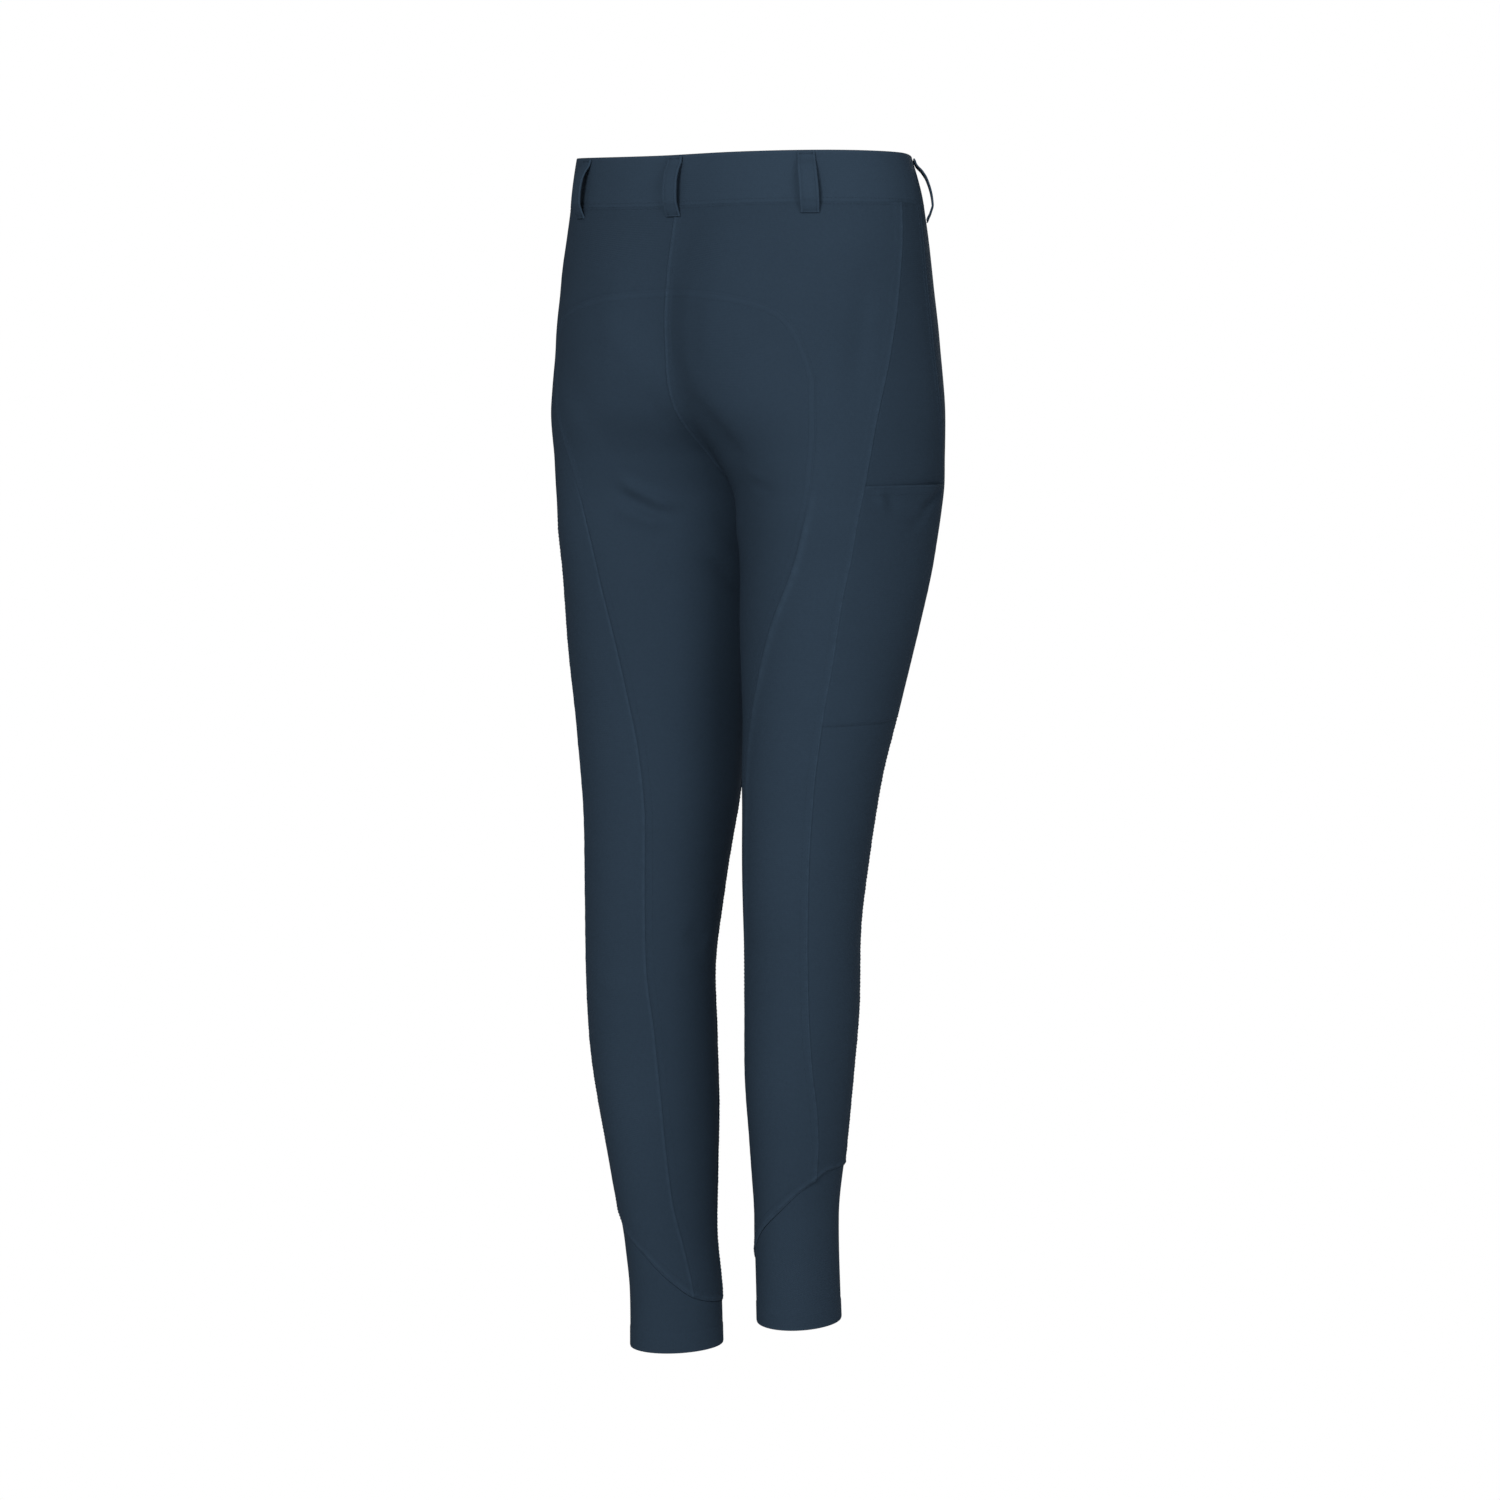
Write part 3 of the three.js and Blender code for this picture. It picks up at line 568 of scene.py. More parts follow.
def row_fractions(side, left, right, columns):
    """Share of each column along each row, closer together near both edges."""
    t = np.linspace(0, 1, 49)
    angle = mix(left[0][:, None], right[0][:, None], t)
    level = mix(left[1][:, None], right[1][:, None], t)
    points = surface(side, angle, row_height(angle, level))
    fractions = []
    for row in run_along(points, 1):
        near = EDGE_STEPS * min(1.0, 0.3 * row[-1] / EDGE_STEPS[-1])
        fractions.append(np.interp(edged(near, row[-1], columns), row, t))
    return np.array(fractions)


def grid_between(side, left, right, columns):
    """Angles and heights of a panel whose rows run between two edges, given as angles and levels."""
    f = row_fractions(side, left, right, columns)
    angle = mix(left[0][:, None], right[0][:, None], f)
    level = mix(left[1][:, None], right[1][:, None], f)
    return angle, row_height(angle, level)


ROW_PITCH = 2.8
top_levels = stepped(BAND_LOW, SIDE_START, ROW_PITCH, fine_end=False)
ARC_ROWS = 60
arc_levels = np.linspace(SIDE_START, ARC_LOW, ARC_ROWS + 1)[1:]
hip_levels = np.arange(ARC_LOW - ROW_PITCH, CROTCH, -ROW_PITCH)
leg_levels = np.concatenate([[CROTCH], stepped(CROTCH - 1.2, LEG_END, ROW_PITCH, fine_start=False)])
side_levels = np.concatenate([top_levels, arc_levels, hip_levels, leg_levels])
low_levels = np.concatenate([hip_levels, leg_levels])


def arc_spots(side, count):
    """Angles and heights along the round top of the patch, evenly spaced, from the middle down."""
    column = 1 if side == LEFT else 2
    rows = np.array([[ARC_TOP, back_meet(ARC_TOP), back_meet(ARC_TOP)]] + PATCH_ARC, float)
    fine = np.linspace(0, len(rows) - 1, 600)
    angle = curve(list(enumerate(rows[:, column])))(fine)
    z = curve(list(enumerate(rows[:, 0])))(fine)
    run = run_along(surface(side, angle, z))
    wanted = np.linspace(0, run[-1], count + 1)
    corner = np.interp(PATCH_ARC_CORNER + 1, fine, run)
    return np.interp(wanted, run, angle), np.interp(wanted, run, z), corner / run[-1]


def panel_outlines(side):
    """Edges of the panels of one half, as angles and levels."""
    top_z = mix(BAND_LOW, ARC_TOP, (BAND_LOW - top_levels) / (BAND_LOW - SIDE_START))
    arc_angle, arc_z, _ = arc_spots(side, ARC_ROWS)
    edge_angle, _ = seam_spots(patch_edge[side], low_levels)
    outer_back, _ = seam_spots(back_seam, side_levels)
    outer_front, _ = seam_spots(front_seam, side_levels)
    inner, _ = seam_spots(inner_front_seam, leg_levels)
    hips = side_levels[side_levels > CROTCH]
    back_left = (
        np.concatenate([back_meet(top_z), arc_angle[1:], edge_angle]),
        np.concatenate([top_z, arc_z[1:], low_levels]),
    )
    front_right = (np.concatenate([front_meet(hips), inner - 360]), np.concatenate([hips, leg_levels]))
    return {
        "back": (back_left, (outer_back, side_levels), 22),
        "side": ((outer_back, side_levels), (outer_front, side_levels), 22),
        "front": ((outer_front, side_levels), front_right, 34),
    }


def patch_grid(side, columns=30):
    """Seat patch: its round top is filled between the arc and the middle, the rest row by row."""
    arc_angle, arc_z, corner = arc_spots(side, 400)
    run = np.linspace(0, 1, 401)
    # Left side from the corner of the arc down to the join, right side down the middle
    left_run = np.concatenate([np.linspace(corner, 1, 60), np.full(30, 1.0)])
    left_angle = np.interp(left_run, run, arc_angle)
    left_z = np.interp(left_run, run, arc_z)
    tail = np.linspace(ARC_LOW, PATCH_JOIN, 31)[1:]
    left_z[60:] = tail
    left_angle[60:] = patch_edge[side](tail)
    length = run_along(surface(side, left_angle, left_z))
    length /= length[-1]
    v = stepped(0, 100, 2.6, fine_end=False) / 100
    la, lz = np.interp(v, length, left_angle), np.interp(v, length, left_z)
    rz = mix(ARC_TOP, PATCH_JOIN, v)
    ra = back_meet(rz)
    top_run = np.linspace(corner, 0, 200)
    ta, tz = np.interp(top_run, run, arc_angle), np.interp(top_run, run, arc_z)
    top_length = run_along(surface(side, ta, tz))
    wanted = edged(EDGE_STEPS, top_length[-1], columns)
    u = wanted / top_length[-1]
    ta, tz = np.interp(wanted, top_length, ta), np.interp(wanted, top_length, tz)
    ba = mix(patch_edge[side](PATCH_JOIN), back_meet(PATCH_JOIN), u)
    bz = np.full_like(u, PATCH_JOIN)
    v_column = v[:, None]

    def filled(top, bottom, left, right):
        """Values inside a square patch from those on its four edges."""
        upper, lower = mix(top[0], top[-1], u), mix(bottom[0], bottom[-1], u)
        sides = mix(left[:, None], right[:, None], u)
        return mix(top, bottom, v_column) + sides - mix(upper, lower, v_column)

    angle_top, z_top = filled(ta, ba, la, ra), filled(tz, bz, lz, rz)
    rest = np.concatenate([np.arange(PATCH_JOIN - ROW_PITCH, CROTCH + 0.5, -ROW_PITCH), leg_levels])
    edge_angle, _ = seam_spots(patch_edge[side], rest)
    inner_angle, _ = seam_spots(inner_front_seam, rest[rest <= CROTCH])
    right_angle = np.concatenate([back_meet(rest[rest > CROTCH]), inner_angle])
    angle, z = grid_between(side, (edge_angle, rest), (right_angle, rest), columns)
    return np.concatenate([angle_top, angle]), np.concatenate([z_top, z])


def lines_of(side):
    """All the seams of one half."""
    fine = np.arange(BAND_LOW, CROTCH - 0.1, -1.0)
    legs = np.arange(CROTCH, LEG_END - 0.1, -1.0)
    arc_angle, arc_z, _ = arc_spots(side, 320)
    edge_levels = np.arange(ARC_LOW - 0.5, LEG_END - 0.1, -1.0)
    edge_angle, edge_z = seam_spots(patch_edge[side], edge_levels)
    whole = np.arange(BAND_LOW, LEG_END - 0.1, -1.0)
    waist = np.arange(float(front_meet(-20.0)), float(back_meet(-20.0)) + 0.5, 0.5)
    cuff_angle = np.arange(-144, 217, 1.0)
    lines = {
        "centre_back": Line(side, back_meet(fine), fine),
        "centre_front": Line(side, front_meet(fine), fine),
        "patch": Line(side, np.concatenate([arc_angle, edge_angle]), np.concatenate([arc_z, edge_z])),
        "back": Line(side, *seam_spots(back_seam, whole)),
        "front": Line(side, *seam_spots(front_seam, whole)),
        "inner": Line(side, *seam_spots(inner_front_seam, legs)),
        "waist": Line(side, waist, np.full_like(waist, BAND_LOW)),
        "cuff": Line(side, cuff_angle, cuff_edge(cuff_angle)),
    }
    for name, height in (("pocket_mouth", POCKET_MOUTH), ("pocket_end", POCKET_END)):
        angle = np.linspace(float(back_seam(height)), float(front_seam(height)), 120)
        lines[name] = Line(side, angle, np.full_like(angle, height))
    return lines


seam_lines = {side: lines_of(side) for side in (LEFT, RIGHT)}

# Seams of each piece and how its cloth lies there
PIECE_SEAMS = {
    "back": {
        "centre_back": centre_seam, "patch": patch_side, "back": side_fell, "waist": waist_seam,
        "cuff": leg_end,
    },
    "side": {"back": side_under, "front": felled_seam, "waist": waist_seam, "cuff": leg_end},
    "front": {
        "front": plain_seam, "centre_front": centre_seam, "inner": felled_seam, "waist": waist_seam,
        "cuff": leg_end,
    },
    "patch": {"centre_back": centre_seam, "patch": bound_seam, "inner": plain_seam, "cuff": leg_end},
    "pocket": {
        "back": side_under, "front": plain_seam, "pocket_mouth": pocket_edge, "pocket_end": plain_seam,
    },
}


def piece_relief(side, piece, angle, z):
    """Relief of a piece's cloth over the worn form, and its painted light and shade along its seams."""
    points = surface(side, angle, z)
    from_middle = np.maximum(np.abs(points[..., 0]) / 14, (CROTCH + 20 - z) / 20)
    relief = crease_relief(side, angle, z, CREASES) * mix(0.2, 1, smooth(from_middle))
    relief = relief + broad_relief(points)
    painted_light_and_shade = np.zeros(np.shape(relief))
    if piece == "pocket":
        relief = relief + crease_relief(side, angle, z, POCKET_CREASES) + pocket_lift(angle, z)
    if piece == "side":
        relief = relief - POCKET_SINK * under_pocket(z)
    for k, (name, profile) in enumerate(PIECE_SEAMS[piece].items()):
        d, run = seam_lines[side][name].reach(points)
        rise, painted_edge_tone = profile(d, run, -side * (1.3 * k + (0.9 if side == LEFT else 2.1) + len(name)))
        relief, painted_light_and_shade = relief + rise, painted_light_and_shade + painted_edge_tone
    return relief, painted_light_and_shade


def under_pocket(z):
    """Share of the pocket's push on the side panel below it, 0 above the mouth and below the end."""
    return smooth((POCKET_MOUTH + 6 - z) / 12) * smooth((z - POCKET_END + 1) / 5)


def pocket_lift(angle, z):
    """How far the pocket stands off the worn form: it opens a little at the front of its mouth."""
    from_seam, to_seam = back_seam(z), front_seam(z)
    t = np.clip((angle - from_seam) / (to_seam - from_seam), 0, 1)
    down = np.clip(1 - (POCKET_MOUTH - z) / 60, 0, 1)
    gape = np.sin(math.pi * t**2.4) * down**2
    return LAY + POCKET_THICK - POCKET_SINK + POCKET_GAPE * gape


# ---- Meshes ----

def mesh_object(name, points, faces, uv=None, painted_light_and_shade=None):
    """A smooth mesh from points in millimetres, with its grain and its painted edge light and shade."""
    mesh = bpy.data.meshes.new(name)
    mesh.from_pydata((np.asarray(points) * MM).tolist(), [], faces)
    mesh.polygons.foreach_set("use_smooth", np.ones(len(mesh.polygons), bool))
    if uv is not None:
        layer = mesh.uv_layers.new(name="grain")
        index = np.zeros(len(mesh.loops), np.int32)
        mesh.loops.foreach_get("vertex_index", index)
        layer.data.foreach_set("uv", (np.asarray(uv) * MM)[index].ravel())
    # Painted light and shade per point of the outer face: lighter on raised edges, darker in seam grooves
    if painted_light_and_shade is not None:
        painted_light_node = mesh.attributes.new("painted_light_and_shade", "FLOAT", "POINT")
        painted_light_node.data.foreach_set("value", np.asarray(painted_light_and_shade, np.float32).ravel())
    mesh.update()
    mesh.set_sharp_from_angle(angle=math.radians(60))
    piece = bpy.data.objects.new(name, mesh)
    bpy.context.scene.collection.objects.link(piece)
    return piece


def grid_faces(rows, columns, closed, start, flip):
    """Four-cornered faces between the points of a grid."""
    spans = columns if closed else columns - 1
    i, j = np.meshgrid(np.arange(rows - 1), np.arange(spans), indexing="ij")
    k = (j + 1) % columns
    upper, lower = start + i * columns, start + (i + 1) * columns
    faces = np.stack([upper + j, lower + j, lower + k, upper + k], -1).reshape(-1, 4)
    return faces[:, ::-1] if flip else faces


def cloth_shell(name, outer, inner, towards, painted_light_and_shade, closed=False):
    """A sheet of cloth with an outer and an inner face and closed edges."""
    rows, columns = outer.shape[:2]
    middle_row, middle_column = rows // 2, columns // 2
    a = outer[middle_row + 1, middle_column] - outer[middle_row, middle_column]
    b = outer[middle_row, middle_column + 1] - outer[middle_row, middle_column]
    flip = np.dot(np.cross(a, b), towards[middle_row, middle_column]) < 0
    size = rows * columns
    faces = [grid_faces(rows, columns, closed, 0, flip), grid_faces(rows, columns, closed, size, not flip)]

    def rim(loop):
        return np.stack([loop[:-1], loop[1:], loop[1:] + size, loop[:-1] + size], -1)

    j = np.arange(columns + 1) % columns if closed else np.arange(columns)
    rims = [rim(j[::-1]), rim((rows - 1) * columns + j)]
    if not closed:
        i = np.arange(rows)
        rims += [rim(i * columns), rim((i * columns + columns - 1)[::-1])]
    rims = np.concatenate(rims)
    faces.append(rims[:, ::-1] if flip else rims)
    points = np.concatenate([outer.reshape(-1, 3), inner.reshape(-1, 3)])
    across = run_along(outer, 1)
    across -= across[:, middle_column][:, None]
    downward = run_along(outer[:, middle_column])
    uv = np.stack([across, np.broadcast_to(downward[:, None], across.shape)], -1).reshape(-1, 2)
    painted_light_and_shade = np.concatenate([painted_light_and_shade.ravel(), np.zeros(size)])
    return mesh_object(name, points, np.concatenate(faces).tolist(), np.concatenate([uv, uv]), painted_light_and_shade)


def finish_piece(piece, material, slot, *nodes):
    """Gives a piece its material and the nodes that it stands for. The slot is not used."""
    piece.data.materials.append(material)
    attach(piece, "root")
    if nodes:
        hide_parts(*nodes)
    return piece


# ---- Materials ----

def add_node(tree, kind, inputs=(), **settings):
    """A node with its settings, and its inputs set or linked by name."""
    node = tree.nodes.new(kind)
    for key, value in settings.items():
        setattr(node, key, value)
    for key, value in dict(inputs).items():
        if isinstance(value, bpy.types.NodeSocket):
            tree.links.new(value, node.inputs[key])
        else:
            node.inputs[key].default_value = value
    return node


class Value:
    """A number worked out inside a material, by the ordinary signs."""

    def __init__(self, tree, socket):
        self.tree, self.socket = tree, socket

    def worked(self, operation, other=None):
        inputs = {0: self.socket}
        if other is not None:
            inputs[1] = other.socket if isinstance(other, Value) else other
        node = add_node(self.tree, "ShaderNodeMath", inputs, operation=operation)
        return Value(self.tree, node.outputs[0])

    def __add__(self, other):
        return self.worked("ADD", other)

    def __sub__(self, other):
        return self.worked("SUBTRACT", other)

    def __mul__(self, other):
        return self.worked("MULTIPLY", other)

    def __truediv__(self, other):
        return self.worked("DIVIDE", other)


def noise(tree, scale, detail, roughness):
    """Cloudy grain fixed to the garment."""
    place = tree.nodes.new("ShaderNodeTexCoord").outputs["Object"]
    inputs = {"Scale": scale, "Detail": detail, "Roughness": roughness, "Vector": place}
    return Value(tree, add_node(tree, "ShaderNodeTexNoise", inputs).outputs["Fac"])


def new_material(name, roughness, specular=None):
    """An empty material, its tree and its shader."""
    material = bpy.data.materials.new(name)
    material.use_nodes = True
    shader = material.node_tree.nodes["Principled BSDF"]
    shader.inputs["Roughness"].default_value = roughness
    if specular is not None:
        shader.inputs["Specular IOR Level"].default_value = specular
    return material, material.node_tree, shader


def knit_face_group():
    """Fine stretch knit: columns of small stitches, a slow change of tone, and painted light and shade from
    the mesh's edge attribute.
    """
    tree = bpy.data.node_groups.new("knit face", "ShaderNodeTree")
    for kind, label, value in (
        ("Float", "Stitch size", 0.0011),
        ("Float", "Tone drift", 0.08),
        ("Float", "Painted edge light", 0.4),
        ("Color", "Colour", (0.03, 0.04, 0.06, 1)),
    ):
        socket = tree.interface.new_socket(name=label, in_out="INPUT", socket_type="NodeSocket" + kind)
        socket.default_value = value
    for kind, label in (("Color", "Colour"), ("Float", "Height")):
        tree.interface.new_socket(name=label, in_out="OUTPUT", socket_type="NodeSocket" + kind)
    given, out = tree.nodes.new("NodeGroupInput"), tree.nodes.new("NodeGroupOutput")
    grain = add_node(tree, "ShaderNodeUVMap", uv_map="grain")
    place = add_node(tree, "ShaderNodeSeparateXYZ", {0: grain.outputs["UV"]})
    stitch = Value(tree, given.outputs["Stitch size"])
    across = Value(tree, place.outputs["X"]) / stitch * (2 * math.pi)
    along = Value(tree, place.outputs["Y"]) / stitch * (2 * math.pi)
    slanted = along * 0.72 + (across * 0.5).worked("SINE").worked("ABSOLUTE") * 1.9
    weave = across.worked("COSINE") * 0.5 + slanted.worked("COSINE") * 0.5
    height = weave * 0.5 + noise(tree, 900.0, 3.0, 0.6) * 0.8
    cloudy = (noise(tree, 9.0, 3.0, 0.55) - 0.5) * 2.0
    melange = (noise(tree, 420.0, 2.0, 0.7) - 0.5) * 1.6
    # Painted highlights on raised seams and edges and painted shade in seam grooves, read from a per-point
    # attribute
    painted_light_node = add_node(tree, "ShaderNodeAttribute", attribute_type="GEOMETRY", attribute_name="painted_light_and_shade")
    painted_edge_tone = Value(tree, painted_light_node.outputs["Fac"]) * Value(tree, given.outputs["Painted edge light"])
    drift = (cloudy + melange + weave * 0.35) * Value(tree, given.outputs["Tone drift"])
    gain = drift + painted_edge_tone + 1.0
    tint = add_node(
        tree, "ShaderNodeVectorMath", {0: given.outputs["Colour"], "Scale": gain.socket}, operation="SCALE"
    )
    tree.links.new(tint.outputs[0], out.inputs["Colour"])
    tree.links.new(height.socket, out.inputs["Height"])
    return tree


KNIT_FACE = knit_face_group()


def cloth_material(name, colour, stitch, drift, roughness, bump):
    material, tree, shader = new_material(name, roughness, 0.05)
    # Strength of the painted edge highlights and groove shade
    inputs = {"Stitch size": stitch, "Tone drift": drift, "Painted edge light": 0.22, "Colour": (*colour, 1)}
    face = add_node(tree, "ShaderNodeGroup", inputs, node_tree=KNIT_FACE)
    inputs = {"Strength": bump, "Distance": 0.0003, "Height": face.outputs["Height"]}
    relief = add_node(tree, "ShaderNodeBump", inputs)
    tree.links.new(face.outputs["Colour"], shader.inputs["Base Color"])
    tree.links.new(relief.outputs["Normal"], shader.inputs["Normal"])
    return material


SOFTSHELL = cloth_material("navy_softshell", (0.0252, 0.0425, 0.0655), 0.0011, 0.09, 0.92, 0.30)
SEAT_CLOTH = cloth_material("navy_seat_cloth", (0.0244, 0.0412, 0.0636), 0.0009, 0.08, 0.90, 0.25)
# Waistband and loops: the softshell colour made an eighth lighter, painted light standing in for light
# falling on the band from above
BAND_CLOTH_PAINTED_LIGHTER = cloth_material("navy_band_cloth_painted_lighter", (0.0284, 0.0478, 0.0736), 0.0011, 0.07, 0.92, 0.30)
CUFF_KNIT = cloth_material("navy_cuff_knit", (0.0252, 0.0426, 0.0656), 0.0014, 0.08, 0.92, 0.40)
THREAD = cloth_material("navy_thread", (0.0262, 0.0440, 0.0678), 0.0005, 0.05, 0.85, 0.10)


def metal_material():
    material, tree, shader = new_material("dark_button_metal", 0.42)
    shader.inputs["Metallic"].default_value = 0.85
    grain = noise(tree, 1600.0, 4.0, 0.6).socket
    tone = add_node(tree, "ShaderNodeValToRGB", {"Fac": grain})
    tone.color_ramp.elements[0].color = (0.028, 0.032, 0.040, 1)
    tone.color_ramp.elements[1].color = (0.060, 0.067, 0.080, 1)
    relief = add_node(tree, "ShaderNodeBump", {"Strength": 0.2, "Distance": 0.00005, "Height": grain})
    tree.links.new(tone.outputs["Color"], shader.inputs["Base Color"])
    tree.links.new(relief.outputs["Normal"], shader.inputs["Normal"])
    return material


BUTTON_METAL = metal_material()


# ---- Panels ----

sheets = {}


def cut_size(outer):
    """Width, length and area of the flat cut of a panel, metres, from its outer face as a grid."""
    across = np.linalg.norm(np.diff(outer, axis=1), axis=2).sum(axis=1).max() * MM
    along = np.linalg.norm(np.diff(outer, axis=0), axis=2).sum(axis=0).max() * MM
    a, b = outer[1:, 1:] - outer[:-1, :-1], outer[1:, :-1] - outer[:-1, 1:]
    area = np.linalg.norm(np.cross(a, b), axis=2).sum() / 2 * MM * MM
    return across, along, area


def lay_sheet(node, outer, inner, out, painted_light_and_shade, material, slot, closed=False):
    """One cut piece of cloth: its mesh, its material and its cut size."""
    shell = cloth_shell(node + "_cloth", outer, inner, out, painted_light_and_shade, closed)
    finish_piece(shell, material, slot, node)
    ring = np.concatenate([outer, outer[:, :1]], axis=1) if closed else outer
    sheets[node] = (shell, cut_size(ring))
    return shell


def lay_panel(side, piece, word, angle, z, material=SOFTSHELL):
    node = {"patch": "seat_patch_", "pocket": "thigh_pocket_"}.get(piece, piece + "_panel_") + word
    points, out = surface(side, angle, z), normals(side, angle, z)
    relief, painted_light_and_shade = piece_relief(side, piece, angle, z)
    thick = POCKET_THICK if piece == "pocket" else PANEL_THICK
    outer = points + out * relief[..., None]
    slot = "seat_cloth" if piece == "patch" else "softshell"
    lay_sheet(node, outer, outer - out * thick, out, painted_light_and_shade, material, slot)


def lay_half(side, word):
    """The six cloth pieces of one half."""
    for piece, (left, right, columns) in panel_outlines(side).items():
        lay_panel(side, piece, word, *grid_between(side, left, right, columns))
    lay_panel(side, "patch", word, *patch_grid(side), SEAT_CLOTH)
    levels = stepped(POCKET_MOUTH, POCKET_END, ROW_PITCH)
    edges = [(seam(levels), levels) for seam in (back_seam, front_seam)]
    lay_panel(side, "pocket", word, *grid_between(side, *edges, 22))
    lay_cuff(side, word)


def cuff_face(side, angle, z):
    """How far the cuff's cloth stands off the worn form, and its painted highlight along the hem fold."""
    from_hem = z - HEM
    turned = 0.3 * band_between(from_hem, 0.5, CUFF_TURN, 1.4) - 0.2 * ripple_at(from_hem, CUFF_TURN, 0.7)
    tucked = -(PANEL_THICK + LAY) * smooth((z - cuff_edge(angle) + 0.6) / 0.8) - CUFF_INSET
    # Painted highlight along the fold at the hem
    painted_light_and_shade = 0.5 * ripple_at(from_hem, 0.6, 1.0)
    return tucked + turned + 0.4 * broad_relief(surface(side, angle, z)), painted_light_and_shade


# Rows of the cuff near the end of the leg, as heights above it
CUFF_ROWS = np.array([14, 10, 6, 3, 1.6, 0.8, 0.3, -0.2, -0.7, -1.3, -2.2, -3.6, -5])


def lay_cuff(side, word):
    """Ankle cuff: a knit tube whose top lies under the slanted end of the leg."""
    angle_row = np.arange(-144, 216, 2.0)
    edge = cuff_edge(angle_row)
    share = stepped(0, 100, 2.2, fine_start=False)[1:] / 100
    z = np.concatenate([edge + CUFF_ROWS[:, None], mix(edge + CUFF_ROWS[-1], HEM, share[:, None])])
    angle = np.broadcast_to(angle_row, z.shape)
    out = normals(side, angle, z)
    face, painted_light_and_shade = cuff_face(side, angle, z)
    outer = surface(side, angle, z) + out * face[..., None]
    inner = outer - out * CUFF_THICK
    lay_sheet(f"ankle_cuff_{word}", outer, inner, out, painted_light_and_shade, CUFF_KNIT, "cuff_knit", closed=True)


# ---- Waistband, loops, shield and button ----

def angle_away(start, distance):
    """Angle at a sideways distance along the waist from another angle."""
    return start + distance / per_degree(LEFT, start, 0.0)


def band_stations():
    """Side, angle as a function of height, and stand-off of each station round the waist."""

    def at_x(distance):
        return lambda z: angle_away(front_meet(z), distance)

    def fixed(a):
        return lambda z: np.full(np.shape(z), a)

    stations = [(RIGHT, at_x(8), 0.0)]
    for distance in np.arange(0, TAB_LENGTH + 6, 3.0):
        stations.append((LEFT, at_x(distance), 0.0))
    first = float(angle_away(front_meet(0.0), TAB_LENGTH + 9))
    last = float(back_meet(0.0)) - 1.2
    spread = np.arange(first, last, 1.15)
    stations += [(LEFT, fixed(a), 0.0) for a in spread]
    stations.append((LEFT, back_meet, 0.0))
    stations += [(RIGHT, fixed(a), 0.0) for a in spread[::-1] if a > first + 4]
    out = BAND_THICK + LAY
    for t in np.linspace(0, 1, 14):
        stations.append((RIGHT, at_x(12 + TAB_RAMP * (1 - t)), out * float(smooth(t))))
    for distance in (8, 4):
        stations.append((RIGHT, at_x(distance), out))
    for distance in np.arange(0, TAB_LENGTH + 0.1, 3.0):
        stations.append((LEFT, at_x(distance), out))
    return stations


def band_outer(station, place, share):
    """Points and normals of the band's outer face at one station, with the dents of its stitching."""
    side, angle, stand = station
    z = mix(BAND_LOW, BAND_TOP, share)
    a = angle(z)
    p, n = surface(side, a, z), normals(side, a, z)
    belly = 0.5 * np.sin(math.pi * np.clip(share, 0, 1)) ** 0.7
    rows = 0.14 * ripple_at(z, BAND_LOW + BAND_ROW, 0.6)
    pull = 0.12 * unevenness(np.full(z.shape, place), 2.2) * np.exp(-(z - BAND_LOW) / 9)
    here = smooth(0.5 + unevenness(np.full(z.shape, place * 0.21), 1.1))
    fold = 0.3 * ripple_at(z, -9 + 0.02 * p[:, 0], 2.8) * here
    face = BAND_EDGE + stand + belly - rows - fold + pull + broad_relief(p) * mix(1, 0.3, share)
    return p + n * face[:, None], p, n, stand


def lay_waistband():
    """The waistband as one folded strip round the waist. Gives the row of stitches along its lower edge."""
    stations = band_stations()
    low_rows, high_rows = [0, 0.012, 0.03, 0.055, 0.07, 0.09], [0.93, 0.96, 0.985]
    outer_share = np.concatenate([low_rows, np.linspace(0.14, 0.9, 12), high_rows])
    rows = []
    for k, station in enumerate(stations):
        outer, p, n, stand = band_outer(station, k * 3.0, outer_share)
        inner = p[::-1] + n[::-1] * (BAND_EDGE + stand - BAND_THICK)
        mid, half = (outer[-1] + inner[0]) / 2, (outer[-1] - inner[0]) / 2
        up = np.array([0, 0, 1.0]) * np.linalg.norm(half) * 0.9
        fold = [mid + half * math.cos(t) + up * math.sin(t) for t in np.linspace(0, math.pi, 7)[1:-1]]
        rows.append(np.concatenate([outer, fold, inner]))
    grid = np.array(rows)
    count, size = grid.shape[:2]
    painted_light_and_shade = np.zeros((count, size))
    # Painted highlight round the fold over the top of the band
    painted_light_and_shade[:, len(outer_share) - 2:len(outer_share) + 4] = 0.3
    band = tube_object("waistband_cloth", grid, painted_light_and_shade)
    finish_piece(band, BAND_CLOTH_PAINTED_LIGHTER, "softshell", "waistband")
    sheets["waistband"] = (band, cut_size(grid[:, :len(outer_share) + 3]))
    stitched = np.array([BAND_ROW / (BAND_TOP - BAND_LOW)])
    spots = [band_outer(station, k * 3.0, stitched) for k, station in enumerate(stations)]
    return np.array([spot[0][0] for spot in spots]), np.array([spot[2][0] for spot in spots])


